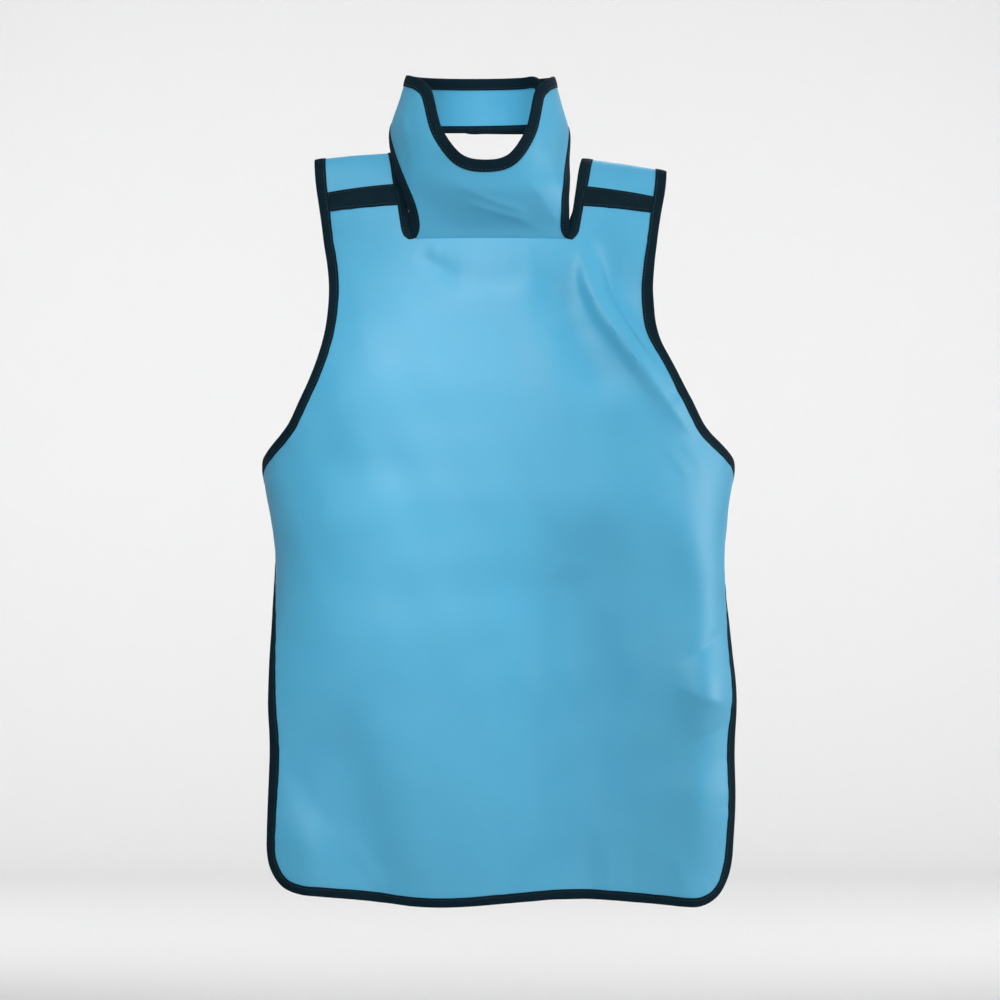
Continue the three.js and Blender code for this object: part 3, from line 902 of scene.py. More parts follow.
    def sample(self, places: Array) -> tuple[Array, Array]:
        """Places in space and normals of some pattern places.

        Args:
            places: Pattern places, in metres.

        Returns:
            The places on the cloth's outer side and its unit normals there.
        """
        number, weights = locate(self.flat, self.faces, places)
        corners = self.faces[number]
        points = (weights[:, :, None] * self.solid[corners]).sum(axis=1)
        return points, unit((weights[:, :, None] * self.normals()[corners]).sum(axis=1))

    def build(self, name: str) -> bpy.types.Object:
        """Makes the sheet's mesh with its thickness.

        Args:
            name: Name of the piece.

        Returns:
            The new object.
        """
        obj = mesh_object(name, self.solid, self.faces, self.flat)
        apply_modifier(obj, "SOLIDIFY", {"thickness": self.thickness, "offset": -1.0, "use_rim": True})
        smooth_shade(obj)
        return obj

    def pattern_size(self) -> Pair:
        """Width and length of the cut pattern, in metres."""
        span = self.flat.max(axis=0) - self.flat.min(axis=0)
        return float(span[0]), float(span[1])

    def pattern_area(self) -> float:
        """Area of the cut pattern, in square metres."""
        return float(np.abs(face_normals(level(self.flat), self.faces)[:, 2]).sum() / 2)

    def edge_runs(self, tape: str, reach: float = 3 * MM) -> list[EdgeRun]:
        """Stretches of the edge that one tape of the frame covers.

        Args:
            tape: Name of the tape's frame node.
            reach: How near the tape an edge point lies to be covered.

        Returns:
            The stretches, each with the cloth on its left.
        """
        corners, faces = merged_node(tape)
        tree = BVHTree.FromPolygons(corners.tolist(), faces.tolist())
        runs = []
        for stretch in self.stretches:
            near = np.array([tree.find_nearest(self.solid[i], reach)[0] is not None for i in stretch])
            changes = np.flatnonzero(np.diff(np.r_[False, near, False].astype(int)))
            for first, last in zip(changes[::2], changes[1::2]):
                count = last - first
                if count > self.run_share * len(stretch) or count * self.spacing > self.run_length:
                    runs.append(EdgeRun(self, self.flat[stretch[first:last]]))
        return runs


def locate(flat: Array, faces: Array, places: Array) -> tuple[Array, Array]:
    """Finds which triangle of a flat mesh holds each place.

    Args:
        flat: Corners of the flat mesh.
        faces: Its triangles.
        places: The places to find.

    Returns:
        The triangle's number and the three corner weights of each place.
    """
    tree = BVHTree.FromPolygons(level(flat).tolist(), faces.tolist())
    number = np.array([tree.find_nearest((u, v, 0))[2] for u, v in places])
    a, b, c = (flat[faces[number, k]] for k in range(3))
    ab, ac, ap = b - a, c - a, places - a
    area = ab[:, 0] * ac[:, 1] - ab[:, 1] * ac[:, 0]
    second = (ap[:, 0] * ac[:, 1] - ap[:, 1] * ac[:, 0]) / area
    third = (ab[:, 0] * ap[:, 1] - ab[:, 1] * ap[:, 0]) / area
    return number, np.stack([1 - second - third, second, third], axis=1)


# Tape and stitches


@dataclass
class TapePath:
    """Evenly spaced places along an edge, with the directions that a tape needs there.

    legs holds a row of places on the cloth at each step, from the edge inwards to the tape's full width, and
    leg_normals the cloth's normals there.
    """

    points: Array
    along: Array
    inward: Array
    normal: Array
    legs: Array
    leg_normals: Array
    widths: Array
    length: Array

    def across(
        self,
        share: Array | float,
        steps: Array | slice = slice(None),
    ) -> tuple[Array, Array]:
        """Places on the cloth under the tape, and the cloth's normals there.

        Args:
            share: Share of the tape's width, from the edge inwards: one for all steps, or one each.
            steps: Which steps of the path.

        Returns:
            The places and the unit normals.
        """
        legs, normals = self.legs[steps], self.leg_normals[steps]
        rows, last = np.arange(len(legs)), legs.shape[1] - 1
        at = np.broadcast_to(share, len(legs)) * last
        k = np.minimum(at.astype(int), last - 1)
        t = (at - k)[:, None]
        places = (1 - t) * legs[rows, k] + t * legs[rows, k + 1]
        return places, unit((1 - t) * normals[rows, k] + t * normals[rows, k + 1])


@dataclass
class EdgeTape:
    """A tape folded over a cloth's edge and sewn through both of its legs.

    profile gives places across the outer face of one leg, as a share of its width from the edge inwards, with
    the share of the puff there.
    """

    runs: list[EdgeRun]
    width: Callable[[Array, Array], Array]
    outset: Callable[[Array], Array] | None = None
    step: float = 1.6 * MM
    tape_thickness: float = 0.65 * MM
    seat: float = 0.08 * MM
    sheet: float = 2 * MM
    puff: float = 0.35 * MM
    puffed_width: float = 8 * MM
    dent: float = 0.14 * MM
    dent_share: float = 0.8
    dent_reach: float = 0.1
    edge_roll: float = 0.2 * MM
    edge_flatness: float = 0.75
    stitch_inset: float = 2.1 * MM
    stitch_pitch: float = STITCH_PITCH
    stitch_room: float = 2.2
    heading_rounds: int = 4
    facing_rounds: int = 3
    crease_angle: float = math.radians(50)
    leg_shares: tuple[float, ...] = (0.0, 0.25, 0.5, 0.75, 1.0)
    profile: tuple[Pair, ...] = (
        (1.0, -0.25), (0.97, 0.0), (0.88, 0.0), (0.72, 0.6), (0.5, 1.0), (0.25, 0.9), (0.05, 0.6),
    )
    path: TapePath = field(init=False)

    def __post_init__(self) -> None:
        """Lays the tape's path along its runs."""
        pieces = []
        for run in self.runs:
            at = lengths_along(run.places)
            places = np.linspace(0, at[-1], max(3, round(at[-1] / self.step)))
            flat = np.stack([np.interp(places, at, run.places[:, k]) for k in range(2)], axis=1)
            heading = unit(softened(np.gradient(flat, axis=0), self.heading_rounds))
            pieces.append((run.cloth, flat, np.stack([-heading[:, 1], heading[:, 0]], axis=1)))
        edge = np.concatenate([cloth.sample(flat)[0] for cloth, flat, _ in pieces])
        at = lengths_along(edge)
        widths = self.width(at, edge)
        legs = np.empty((len(edge), len(self.leg_shares), 3))
        facing = np.empty_like(legs)
        first = 0
        for cloth, flat, inward in pieces:
            last = first + len(flat)
            for k, share in enumerate(self.leg_shares):
                reach = (share * widths[first:last])[:, None]
                legs[first:last, k], facing[first:last, k] = cloth.sample(flat + inward * reach)
            first = last
        for k in range(len(self.leg_shares)):
            facing[:, k] = unit(softened(facing[:, k], self.facing_rounds))
        along = unit(softened(np.gradient(edge, axis=0), self.facing_rounds))
        inward = unit(np.cross(facing[:, 0], along))
        self.path = TapePath(edge, along, inward, facing[:, 0], legs, facing, widths, at)

    def _row(self, share: float, height: Array | float) -> Array:
        """A row of points along one leg.

        Args:
            share: Share of the tape's width, from the edge inwards.
            height: Height above the cloth's outer side, below zero on its inner side.

        Returns:
            One point a step.
        """
        places, facing = self.path.across(share)
        return places + facing * np.broadcast_to(height, len(places))[:, None]

    def _face_height(self, share: float, puff: float) -> Array:
        """Height of a leg's outer face above the cloth, lower where a stitch pulls it in.

        Args:
            share: Share of the tape's width, from the edge inwards.
            puff: Share of the puff there.

        Returns:
            One height a step.
        """
        pressed = 0.5 + 0.5 * np.cos(2 * math.pi * self.path.length / self.stitch_pitch)
        bulge = np.minimum(1.0, self.path.widths / self.puffed_width)
        sewn = math.exp(-((share - self.dent_share) / self.dent_reach) ** 2)
        return self.seat + self.tape_thickness + self.puff * puff * bulge - self.dent * sewn * pressed

    def _fold_arc(self, size: float, count: int) -> list[Array]:
        """Rows round the folded edge, from the outer side to the inner one.

        Args:
            size: Radius of the fold.
            count: Number of rows.

        Returns:
            The rows, with one point a step.
        """
        path = self.path
        middle = path.points - path.normal * (self.sheet / 2)
        outset = (self.outset(path.length) if self.outset else np.zeros(len(path.length)))[:, None]
        arc = []
        for turn in np.linspace(math.pi / 2, -math.pi / 2, count + 2)[1:-1]:
            reach = (self.edge_flatness * size + outset) * math.cos(turn)
            arc.append(middle - path.inward * reach + path.normal * size * math.sin(turn))
        return arc

    def build(self, name: str) -> bpy.types.Object:
        """Makes the tape's closed mesh.

        Args:
            name: Name of the piece.

        Returns:
            The new object.
        """
        rows = [self._row(share, self._face_height(share, puff)) for share, puff in self.profile]
        rows += self._fold_arc(self.sheet / 2 + self.seat + self.tape_thickness + self.edge_roll, 5)
        for share, puff in reversed(self.profile):
            rows.append(self._row(share, -self.sheet - self._face_height(share, puff)))
        rows += [self._row(share, -self.sheet - self.seat) for share in (1.0, 0.5, 0.0)]
        rows += reversed(self._fold_arc(self.sheet / 2 + self.seat, 3))
        rows += [self._row(share, self.seat) for share in (0.0, 0.5, 1.0)]
        grid = np.stack(rows, axis=1)
        count, around = grid.shape[:2]
        across = lengths_along(grid[count // 2])
        pattern = np.stack(np.broadcast_arrays(self.path.length[:, None], across[None, :]), axis=-1)
        faces = []
        for first in range(0, (count - 1) * around, around):
            for k in range(around):
                k2 = (k + 1) % around
                faces.append((first + k, first + k2, first + around + k2, first + around + k))
        faces.append(tuple(range(around)))
        faces.append(tuple((count - 1) * around + k for k in reversed(range(around))))
        obj = mesh_object(name, grid.reshape(-1, 3), faces, pattern.reshape(-1, 2))
        with editing(obj):
            bpy.ops.mesh.normals_make_consistent(inside=False)
        smooth_shade(obj, self.crease_angle)
        return obj

    def stitch_places(self) -> list[Stitches]:
        """Middles, directions and normals of the stitches, which stop where the tape is too narrow for them.

        Returns:
            One set for the outer side of the cloth and one for the inner side.
        """
        path = self.path
        marks = np.arange(self.stitch_pitch, path.length[-1] - self.stitch_pitch, self.stitch_pitch)
        steps = np.clip(np.searchsorted(path.length, marks), 0, len(path.length) - 1)
        steps = steps[path.widths[steps] > self.stitch_room * self.stitch_inset]
        places, facing = path.across(1 - self.stitch_inset / path.widths[steps], steps)
        along = path.along[steps]
        top = self.seat + self.tape_thickness + STITCH_LIFT
        below = self.sheet + top
        return [(places + facing * top, along, facing), (places - facing * below, along, -facing)]


def seam_stitches(
    cloth: Cloth,
    stretch: Array,
    inset: float,
) -> Stitches:
    """Middles, directions and normals of a row of stitches beside a cloth's edge.

    Args:
        cloth: The cloth that is sewn down.
        stretch: Corner numbers along the edge, in order.
        inset: Distance of the row from the edge.

    Returns:
        The stitches' middles, directions and normals.
    """
    run = EdgeRun(cloth, cloth.flat[stretch])
    path = EdgeTape([run], lambda at, places: np.full(len(at), inset)).path
    marks = np.arange(STITCH_PITCH, path.length[-1] - STITCH_PITCH / 2, STITCH_PITCH)
    steps = np.searchsorted(path.length, marks)
    facing = path.leg_normals[steps, -1]
    return path.legs[steps, -1] + facing * STITCH_LIFT, path.along[steps], facing


def softened(values: Array, rounds: int) -> Array:
    """Averages the neighbours in a row of vectors.

    Args:
        values: The vectors, in order.
        rounds: How many times to average.

    Returns:
        The softened vectors.
    """
    for _ in range(rounds):
        padded = np.r_[values[:1], values, values[-1:]]
        values = (padded[:-2] + 2 * padded[1:-1] + padded[2:]) / 4
    return values


def chained(runs: list[EdgeRun]) -> list[EdgeRun]:
    """Puts the stretches that one tape covers in the order that the tape follows.

    Args:
        runs: The stretches in any order.

    Returns:
        The same stretches, each starting where the one before it ends.
    """
    ends = [run.ends() for run in runs]
    after = {}
    for i, (_, end) in enumerate(ends):
        gaps = [np.linalg.norm(start - end) if j != i else np.inf for j, (start, _) in enumerate(ends)]
        if gaps and min(gaps) < JOIN_GAP:
            after[i] = int(np.argmin(gaps))
    here = next(i for i in range(len(runs)) if i not in after.values())
    order = [here]
    while here in after and after[here] not in order:
        here = after[here]
        order.append(here)
    return [runs[i] for i in order]


@dataclass
class StitchRow:
    """Many stitches of one thread as one mesh, copied from one modelled stitch."""

    length: float = 2.5 * MM
    width: float = 0.55 * MM
    height: float = 0.36 * MM
    crease_angle: float = math.radians(80)

    def _one(self) -> tuple[Array, list[tuple[int, ...]]]:
        """Models one stitch: a short thread whose ends dip into the cloth.

        Returns:
            Its corners along X with Z up, and its faces.
        """
        deselect_all()
        bpy.ops.mesh.primitive_uv_sphere_add(segments=6, ring_count=5, radius=0.5)
        obj = bpy.context.object
        with editing(obj):
            bpy.ops.transform.rotate(value=math.pi / 2, orient_axis="Y", center_override=(0, 0, 0))
            bpy.ops.transform.resize(value=(self.length, self.width, self.height))
        corners = np.array([tuple(v.co) for v in obj.data.vertices])
        faces = [tuple(p.vertices) for p in obj.data.polygons]
        discard(obj)
        return corners, faces

    def build(
        self,
        name: str,
        sets: list[Stitches],
    ) -> bpy.types.Object:
        """Copies the stitch to every place.

        Args:
            name: Name of the piece.
            sets: Middles, directions and normals of the stitches.

        Returns:
            The new object.
        """
        corners, faces = self._one()
        middle, along, facing = (np.concatenate([s[k] for s in sets]) for k in range(3))
        across = unit(np.cross(facing, along))
        along = unit(np.cross(across, facing))
        places = (
            middle[:, None, :]
            + corners[None, :, 0, None] * along[:, None, :]
            + corners[None, :, 1, None] * across[:, None, :]
            + corners[None, :, 2, None] * facing[:, None, :]
        )
        count = len(corners)
        copies = [tuple(i + n * count for i in face) for n in range(len(middle)) for face in faces]
        obj = mesh_object(name, places.reshape(-1, 3), copies)
        smooth_shade(obj, self.crease_angle)
        return obj


# Sub-assemblies


@dataclass
class Finishes:
    """The vest's materials, each made once."""

    cloth: bpy.types.Material = field(default_factory=CoatedNylon().material)
    tape: bpy.types.Material = field(default_factory=RibbedTape().material)
    thread: bpy.types.Material = field(default_factory=SewingThread().material)
    pile: bpy.types.Material = field(default_factory=LoopPile().material)


def dress(
    obj: bpy.types.Object,
    material: bpy.types.Material,
    nodes: tuple[str, ...] = (),
) -> None:
    """Gives a piece its material and its place in the frame.

    Args:
        obj: The piece.
        material: Its material.
        nodes: Frame nodes that the piece stands for.
    """
    obj.data.materials.clear()
    obj.data.materials.append(material)
    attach(obj, BODY)
    if nodes:
        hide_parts(*nodes)
    log.info("%s: %d faces", obj.name, len(obj.data.polygons))


def sew_tape(
    tape: EdgeTape,
    node: str,
    names: tuple[str, str],
    finishes: Finishes,
    seams: list[Stitches] | None = None,
) -> tuple[bpy.types.Object, bpy.types.Object]:
    """Makes an edge tape and the stitches that hold it.

    Args:
        tape: The tape.
        node: Frame node that the tape stands for.
        names: Names of the tape and of its stitches.
        finishes: The vest's materials.
        seams: Further rows of stitches in the same thread.

    Returns:
        The tape and its stitches.
    """
    binding = tape.build(names[0])
    dress(binding, finishes.tape, (node,))
    stitches = StitchRow().build(names[1], tape.stitch_places() + (seams or []))
    dress(stitches, finishes.thread)
    return binding, stitches


def ripple(along: Array, seed: int, shortest: float, longest: float, count: int) -> Array:
    """An uneven wave along a line, the same on every run.

    Args:
        along: Places on the line, in metres.
        seed: Number that fixes the wave's form.
        shortest: Shortest wave, in metres.
        longest: Longest wave, in metres.
        count: How many waves are added up.

    Returns:
        Heights of about one.
    """
    draw = np.random.default_rng(seed)
    lengths = draw.uniform(shortest, longest, count)
    phases = draw.uniform(0, 2 * math.pi, count)
    waves = np.sin(2 * math.pi * along[:, None] / lengths + phases)
    return waves.sum(axis=1) / math.sqrt(count)


def pucker_edge(cloth: Cloth, seed: int, height: float, reach: float) -> None:
    """Draws the cloth into small waves beside its sewn edge.

    Args:
        cloth: The cloth to change.
        seed: Number that fixes the waves.
        height: Height of the waves, in metres.
        reach: How far the waves run in from the edge, in metres.
    """
    distance, along = cloth.edge_distance()
    start = ramp(distance, *PUCKER_START)
    wave = ripple(along, seed, *PUCKER_WAVES, PUCKER_COUNT)
    cloth.raise_by(height * start * wave * np.exp(-distance / reach))


def unsettle(cloth: Cloth, seed: int, height: float) -> None:
    """Gives a cloth the slow unevenness that a heavy core leaves.

    Args:
        cloth: The cloth to change.
        seed: Number that fixes the form.
        height: Height of the unevenness, in metres.
    """
    draw = np.random.default_rng(seed)
    waves = np.zeros(len(cloth.flat))
    for _ in range(UNEVEN_COUNT):
        length = draw.uniform(*UNEVEN_LENGTHS_MM) * MM
        heading = draw.uniform(0, math.pi)
        phase = draw.uniform(0, 2 * math.pi)
        place = cloth.flat @ np.array([math.cos(heading), math.sin(heading)])
        waves += np.sin(2 * math.pi * place / length + phase)
    distance, _ = cloth.edge_distance()
    cloth.raise_by(height * waves / math.sqrt(UNEVEN_COUNT) * ramp(distance, *UNEVEN_START))


APRON_FOLDS = (
    Fold(
        "shoulder ridge",
        ((78, -104), (83, -131), (94, -155), (112, -180), (138, -215), (165, -254), (186, -279)),
        (15, 8),
        5.0,
        FoldShape.CREASED,
    ),
    Fold("shoulder valley", ((68, -112), (75, -141), (89, -170), (113, -201), (146, -248)), (7, 20), -4.0),
    Fold("slit foot valley", ((73, -106), (78, -129), (87, -153)), (5, 9), -2.2),
    Fold("strap hollow", ((103, -96), (118, -135), (140, -174), (157, -207)), (24, 10), -13.0),
    Fold("armpit ripple inner", ((161, -291), (184, -322)), (6, 5), 0.9),
    Fold("armpit ripple outer", ((179, -287), (200, -314)), (6, 5), 0.8),
    Fold("collar smile", ((-74, -106), (-52, -122), (-24, -130), (5, -130), (33, -122)), (16, 12), -2.2),
    Fold("slit crease", ((-86, -91), (-70, -108), (-43, -129)), (10, 8), -2.2),
    Fold("body trough", ((58, -387), (83, -489), (97, -595), (101, -722)), (64, 56), -15.0),
    Fold("trough head", ((39, -421), (63, -409), (93, -407)), (9, 14), 1.6),
    Fold("flank ridge", ((184, -343), (200, -421), (194, -498), (194, -576), (194, -683)), (30, 22), 7.0),
    Fold("flank pull", ((177, -502), (194, -489), (217, -469)), (8, 7), -2.2, FoldShape.CREASED),
    Fold("flank pucker", ((171, -522), (192, -533), (219, -545)), (16, 8), 4.5, FoldShape.CREASED),
    Fold("flank crease", ((181, -580), (198, -570), (219, -560)), (6, 5), -1.3, FoldShape.CREASED),
    Fold("lower left valley", ((-217, -576), (-181, -634), (-146, -683), (-113, -727)), (46, 20), -7.0),
    Fold("lower left crease", ((-146, -679), (-130, -698), (-113, -724)), (8, 7), 1.1),
    Fold("hem wave one", ((83, -663), (87, -727)), (7, 7), -1.1),
    Fold("hem wave two", ((105, -683), (103, -731)), (7, 7), 1.2),
    Fold("hem wave three", ((128, -679), (132, -731)), (8, 7), -1.0),
    Fold("hem wave four", ((171, -683), (179, -729)), (8, 8), 1.4),
)

COLLAR_FOLDS = (
    Fold("belly", ((-74, -34), (-29, -41), (8, -43), (54, -40)), (15, 32), 6.0),
    Fold("upper arc", ((-37, -36), (-2, -51), (25, -60)), (5, 4), 1.2, FoldShape.CREASED),
    Fold("lower arc", ((-29, -52), (17, -66), (54, -89)), (6, 5), 1.6, FoldShape.CREASED),
    Fold("right corner", ((18, -21), (39, -48), (61, -77)), (20, 14), 3.4, FoldShape.CREASED),
)


@dataclass
class Apron:
    """The front panel with the tape round its hem and sides.

    Along the seam below the collar the panel is sewn flat: its folds grow from there over seam_fade.
    """

    spacing: float = 3.3 * MM
    hem_width: float = 8.0 * MM
    hem_heights: Pair = (-728 * MM, -700 * MM)
    folds: tuple[Fold, ...] = APRON_FOLDS
    wearer: Triple = (0.0, 0.05, -0.4)
    seam_middle: float = 10 * MM
    seam_reach: float = 75 * MM
    seam_ends: Pair = (0.9, 1.2)
    seam_fade: float = 26 * MM
    fade_shares: Pair = (0.1, 1.0)
    uneven_seed: int = 11
    unevenness: float = 0.5 * MM
    pucker_seed: int = 5
    pucker_height: float = 0.35 * MM
    pucker_reach: float = 16 * MM
    tapes: tuple[str, ...] = ("hem_binding", "shoulder_binding_left", "shoulder_binding_right")
    cloth: Cloth = field(init=False)
    runs: dict[str, list[EdgeRun]] = field(init=False)

    def build(self) -> None:
        """Shapes the panel's cloth, after finding the edges that each tape covers on the unfolded form."""
        self.cloth = Cloth("front_panel", self.wearer, self.spacing)
        self.runs = {tape: self.cloth.edge_runs(tape) for tape in self.tapes}
        unsettle(self.cloth, self.uneven_seed, self.unevenness)
        beside = np.abs(self.cloth.solid[:, 0] + self.seam_middle) / self.seam_reach
        below = (SEAM_HEIGHT - self.cloth.solid[:, 2]) / self.seam_fade
        free = np.maximum(ramp(beside, *self.seam_ends), ramp(below, *self.fade_shares))
        self.cloth.fold(self.folds, free)
        pucker_edge(self.cloth, self.pucker_seed, self.pucker_height, self.pucker_reach)

    def dress(self, finishes: Finishes) -> None:
        """Args:
            finishes: The vest's materials.
        """
        panel = self.cloth.build("apron_panel")
        dress(panel, finishes.cloth, ("front_panel",))
        tape = EdgeTape(chained(self.runs["hem_binding"]), self._width)
        hem, stitches = sew_tape(tape, "hem_binding", ("hem_tape", "hem_stitches"), finishes)
        self.cloth.pattern_size()
        self.cloth.pattern_area()

    def _width(self, at: Array, places: Array) -> Array:
        """Width of the tape along its path: a little narrower along the hem, where it rolls under.

        Args:
            at: Distances along the path.
            places: Places in space along the path.

        Returns:
            One width a place.
        """
        hem = 1 - ramp(places[:, 2], *self.hem_heights)
        return TAPE_WIDTH - (TAPE_WIDTH - self.hem_width) * hem


def slit_width(above: Array) -> Array:
    """Width of a tape that runs down beside a neck slit to a rounded tip at its foot.

    Args:
        above: Distances along the tape from the slit's foot.

    Returns:
        One width a distance.
    """
    width = SLIT_WIDTH + (TAPE_WIDTH - SLIT_WIDTH) * ramp(above, *SLIT_WIDENING)
    share = np.clip(1 - above / SLIT_TIP, 0, 1)
    return width * np.maximum(SLIT_TIP_SHARE, np.sqrt(1 - share ** 2))


@dataclass
class Shoulder:
    """One shoulder: the flap that lies over it, the dark band across the strap and the tape round both."""

    side: Side
    spacing: float = 2.6 * MM
    grain: Triple = (0.0, 1.0, 0.0)
    wearer_depth: float = 15 * MM
    wearer_height: float = -90 * MM
    uneven_seed: int = 21
    unevenness: float = 0.25 * MM
    slit_fill: float = 1.5 * MM
    slit_closed: Pair = (20.4 * MM, 34 * MM)
    band_spacing: float = 1.6 * MM
    band_smoothing: int = 30
    band_thickness: float = 1.2 * MM
    band_reach: float = 4 * MM
    band_stitch_inset: float = 2.4 * MM

    def dress(self, apron: Apron, finishes: Finishes) -> None:
        """Args:
            apron: The front panel, whose strap the tape also follows.
            finishes: The vest's materials.
        """
        end = self.side.value
        low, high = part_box(f"shoulder_flap_{end}")
        core = ((low.x + high.x) / 2, self.wearer_depth, self.wearer_height)
        flap_cloth = Cloth(f"shoulder_flap_{end}", core, self.spacing, grain=self.grain)
        node = f"shoulder_binding_{end}"
        runs = chained(apron.runs[node] + flap_cloth.edge_runs(node))
        unsettle(flap_cloth, self.uneven_seed, self.unevenness)
        flap = flap_cloth.build(f"shoulder_cloth_{end}")
        dress(flap, finishes.cloth, (f"shoulder_flap_{end}",))
        band_cloth = Cloth(
            f"shoulder_band_{end}",
            core,
            self.band_spacing,
            self.band_thickness,
            self.grain,
            self.band_smoothing,
        )
        self._lengthen(band_cloth)
        band = band_cloth.build(f"shoulder_band_tape_{end}")
        long_edges = sorted(band_cloth.stretches, key=len)[-2:]
        seams = [seam_stitches(band_cloth, edge, self.band_stitch_inset) for edge in long_edges]
        dress(band, finishes.tape, (f"shoulder_band_{end}",))
        tape = EdgeTape(runs, self._width, self._outset)
        names = (f"shoulder_edge_tape_{end}", f"shoulder_stitches_{end}")
        binding, stitches = sew_tape(tape, node, names, finishes, seams)

    def _lengthen(self, band: Cloth) -> None:
        """Draws the band's inner end on until the edge tape meets it.

        Args:
            band: The band's cloth.
        """
        across = band.solid[:, 0]
        outer, inner = across.min(), across.max()
        if self.side is Side.RIGHT:
            outer, inner = inner, outer
        share = (across - outer) / (inner - outer)
        slope = np.polyfit(across, band.solid[:, 2], 1)[0]
        step = math.copysign(self.band_reach, inner - outer) * share
        band.solid += np.stack([step, np.zeros(len(step)), slope * step], axis=1)

    def _from_foot(self, at: Array) -> Array:
        """Distance from the slit's foot of places along the tape."""
        return at if self.side is Side.LEFT else at[-1] - at

    def _width(self, at: Array, places: Array) -> Array:
        """Width of the tape along its path: narrow beside the neck slit, with a rounded tip at its foot."""
        return slit_width(self._from_foot(at))

    def _outset(self, at: Array) -> Array:
        """How far the fold stands out from the edge, so that the slit closes at its foot."""
        return self.slit_fill * (1 - ramp(self._from_foot(at), *self.slit_closed))


@dataclass
class Collar:
    """The stand-up neck collar with its bound edges and the fastener between its wings.

    Heights of the lean and of the folds' fade count from the seam below the collar. The back's lower edge,
    where the tape is narrow, lies behind back_depths and below back_heights.
    """

    spacing: float = 2.4 * MM
    patch_spacing: float = 2.5 * MM
    patch_smoothing: int = 10
    folds: tuple[Fold, ...] = COLLAR_FOLDS
    seam_fade: Pair = (1 * MM, 24 * MM)
    uneven_seed: int = 31
    unevenness: float = 0.35 * MM
    lean: float = 20 * MM
    lean_rise: Pair = (-30 * MM, 72 * MM)
    lean_fall: Pair = (80 * MM, 150 * MM)
    lean_facing: Pair = (0.15, 0.85)
    back_width: float = 6.2 * MM
    back_depths: Pair = (0.0, 40 * MM)
    back_heights: Pair = (40 * MM, 50 * MM)

    def dress(self, finishes: Finishes) -> None:
        """Args:
            finishes: The vest's materials.
        """
        low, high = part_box("collar")
        core = ((low.x + high.x) / 2, (low.y + high.y) / 2, (low.z + high.z) / 2)
        cloth = Cloth("collar", core, self.spacing)
        runs = chained(cloth.edge_runs("collar_binding"))
        unsettle(cloth, self.uneven_seed, self.unevenness)
        self._lean(cloth)
        cloth.fold(self.folds, ramp(cloth.solid[:, 2] - SEAM_HEIGHT, *self.seam_fade))
        collar = cloth.build("neck_collar")
        dress(collar, finishes.cloth, ("collar",))
        tape = EdgeTape(runs, self._width)
        binding, stitches = sew_tape(tape, "collar_binding", ("collar_tape", "collar_stitches"), finishes)
        patch_cloth = Cloth("collar_fastener", core, self.patch_spacing, smoothing=self.patch_smoothing)
        patch = patch_cloth.build("collar_touch_fastener")
        dress(patch, finishes.pile, ("collar_fastener",))

    def _lean(self, cloth: Cloth) -> None:
        """Lets the collar's front stand away from the neck, more the higher it is up to the neckline.

        Args:
            cloth: The collar's cloth, still sewn in place along the seam below it.
        """
        height = cloth.solid[:, 2] - SEAM_HEIGHT
        rise = ramp(height, *self.lean_rise) - ramp(np.zeros(1), *self.lean_rise)
        fall = 1 - ramp(height, *self.lean_fall)
        front = ramp(-cloth.normals()[:, 1], *self.lean_facing)
        cloth.solid[:, 1] -= self.lean * np.maximum(rise, 0) * fall * front

    def _width(self, at: Array, places: Array) -> Array:
        """Width of the tape along its path: narrow beside both neck slits and along the back's lower edge.

        Args:
            at: Distances along the path.
            places: Places in space along the path.

        Returns:
            One width a place.
        """
        width = slit_width(np.minimum(at, at[-1] - at))
        behind = ramp(places[:, 1], *self.back_depths) * (1 - ramp(places[:, 2], *self.back_heights))
        return width - (width - np.minimum(width, self.back_width)) * behind


@dataclass(frozen=True)
class Lamp:
    """One studio lamp: a soft square panel, or a spot where it has a cone."""

    name: str
    place: Triple
    aim: Triple
    size: float
    power: float
    cone: float = 0.0
    blend: float = 1.0

    def light(self) -> None:
        """Stands the lamp in the scene."""
        data = bpy.data.lights.new(self.name, "SPOT" if self.cone else "AREA")
        if self.cone:
            data.spot_size = math.radians(self.cone)
            data.spot_blend = self.blend
            data.shadow_soft_size = self.size / 2
        else:
            data.shape = "SQUARE"
            data.size = self.size
        data.energy = self.power
        light = bpy.data.objects.new(self.name, data)
        light.location = self.place
        light.rotation_euler = (Vector(self.aim) - Vector(self.place)).to_track_quat("-Z", "Y").to_euler()
        bpy.context.scene.collection.objects.link(light)


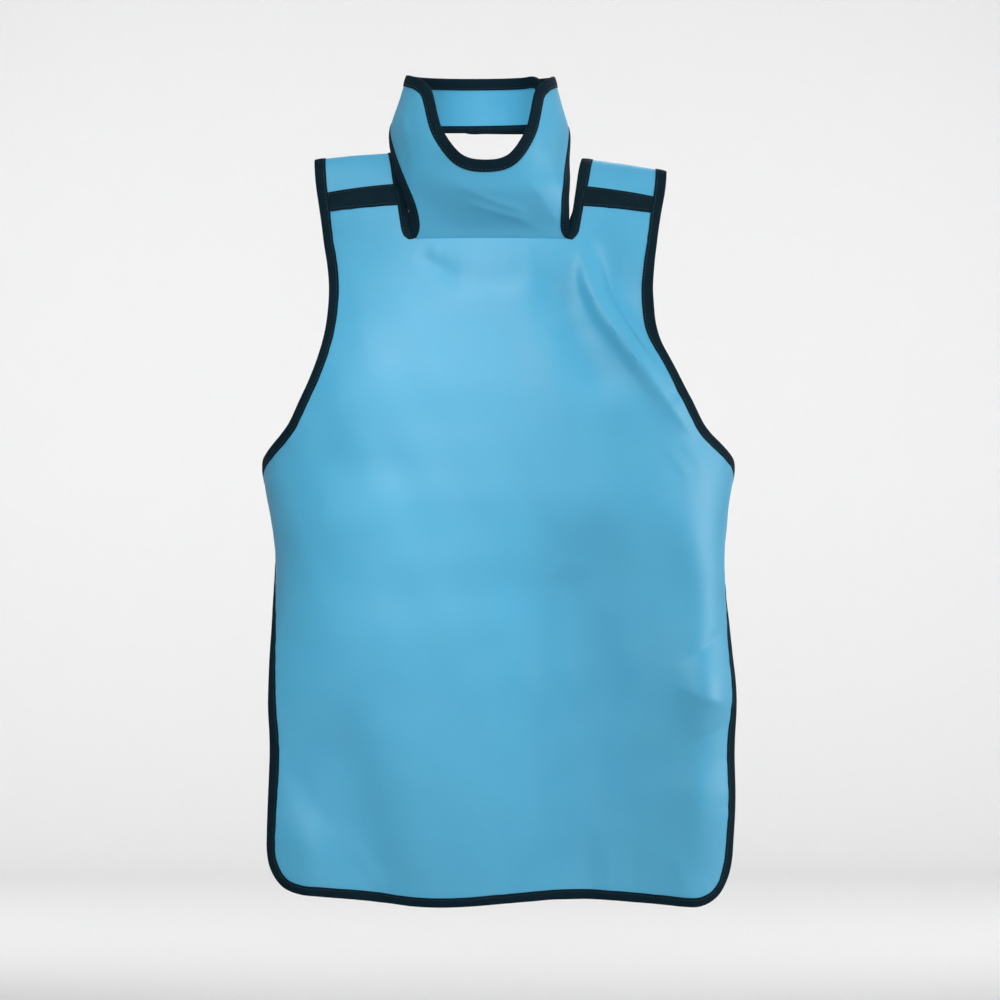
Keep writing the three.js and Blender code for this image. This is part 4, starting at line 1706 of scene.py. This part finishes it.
LAMPS = (
    Lamp("high_left", (-1.0, -2.4, 1.7), VEST_MIDDLE, 1.0, 25.0),
    Lamp("top_front", (0.0, -1.4, 1.6), VEST_MIDDLE, 0.8, 18.0),
    Lamp("side_right", (2.6, -0.7, 0.0), VEST_MIDDLE, 1.0, 16.0),
    Lamp("rim_right", (2.6, 0.2, 0.0), VEST_MIDDLE, 1.0, 19.0),
    Lamp("chest_spot", (-0.2, -1.6, 0.4), (-0.12, -0.12, -0.22), 0.3, 25.0, cone=21.0),
    Lamp("middle_spot", (-0.1, -1.6, 0.3), (-0.08, -0.12, -0.42), 0.3, 15.0, cone=20.0),
    Lamp("low_spot", (-0.05, -1.6, 0.1), (-0.07, -0.12, -0.62), 0.3, 17.0, cone=18.0),
    Lamp("throat_spot", (-0.02, -1.6, 0.3), (-0.018, 0.09, 0.06), 0.06, 50.0, cone=4.4, blend=0.5),
    Lamp("back_panel", (0.7, 2.4, 1.5), (0.0, 0.0, -0.3), 1.2, 18.0),
    Lamp("backdrop_left", (-2.4, 2.0, 0.7), (0.3, WALL_DEPTH, -0.4), 0.4, 212.0, cone=110.0),
    Lamp("backdrop_right", (2.4, 2.0, 0.7), (-0.3, WALL_DEPTH, -0.4), 0.4, 212.0, cone=110.0),
)


@dataclass
class Studio:
    """A pale paper sweep, soft lights and a camera in front of the vest."""

    floor_height: float = -1.18
    paper_width: float = 14.0
    paper_run: float = 9.0
    paper_height: float = 6.0
    sweep: float = 0.9
    sweep_steps: int = 24
    sweep_angle: float = math.radians(60)
    surround: float = 0.06
    camera_distance: float = 3.5
    camera_height: float = -0.343
    frame_width: float = 1.0
    sensor: float = 36.0
    lamps: tuple[Lamp, ...] = LAMPS

    def build(self) -> None:
        """Makes the paper sweep, the lights and the camera."""
        self._paper()
        for lamp in self.lamps:
            lamp.light()
        self._world()
        self._camera()

    def _paper(self) -> None:
        """Makes the floor, bent up into a wall behind the vest."""
        deselect_all()
        bpy.ops.mesh.primitive_plane_add(size=1, location=(0, 0, 0))
        paper = bpy.context.object
        paper.name = "paper_sweep"
        with editing(paper):
            bpy.ops.transform.resize(value=(self.paper_width, self.paper_run, 1))
            bpy.ops.transform.translate(value=(0, WALL_DEPTH - self.paper_run / 2, self.floor_height))
        for edge in paper.data.edges:
            edge.select = all(paper.data.vertices[i].co.y > 0 for i in edge.vertices)
        bpy.ops.object.mode_set(mode="EDIT")
        bpy.ops.mesh.select_mode(type="EDGE")
        bpy.ops.mesh.extrude_region_move(TRANSFORM_OT_translate={"value": (0, 0, self.paper_height)})
        bpy.ops.object.mode_set(mode="OBJECT")
        bend = {"width": self.sweep, "segments": self.sweep_steps}
        apply_modifier(paper, "BEVEL", bend | {"limit_method": "ANGLE", "angle_limit": self.sweep_angle})
        smooth_shade(paper)
        paper.data.materials.append(StudioPaper().material())

    def _world(self) -> None:
        """Sets an even grey surround and plain colour."""
        world = bpy.data.worlds.new("studio")
        world.use_nodes = True
        background = world.node_tree.nodes["Background"]
        background.inputs["Color"].default_value = (1, 1, 1, 1)
        background.inputs["Strength"].default_value = self.surround
        bpy.context.scene.world = world
        bpy.context.scene.view_settings.view_transform = "Standard"

    def _camera(self) -> None:
        """Adds the camera, level and square to the vest's front."""
        data = bpy.data.cameras.new("front_camera")
        data.sensor_width = self.sensor
        data.lens = self.sensor * self.camera_distance / self.frame_width
        camera = bpy.data.objects.new("front_camera", data)
        camera.location = (0, -self.camera_distance, self.camera_height)
        camera.rotation_euler = (math.pi / 2, 0, 0)
        bpy.context.scene.collection.objects.link(camera)
        bpy.context.scene.camera = camera


def main() -> None:
    """Builds the studio and every sub-assembly in order."""
    logging.basicConfig(level=logging.INFO, format="%(name)s %(message)s")
    Studio().build()
    finishes = Finishes()
    apron = Apron()
    apron.build()
    apron.dress(finishes)
    for side in Side:
        Shoulder(side).dress(apron, finishes)
    Collar().dress(finishes)


if __name__ == "__main__":
    main()
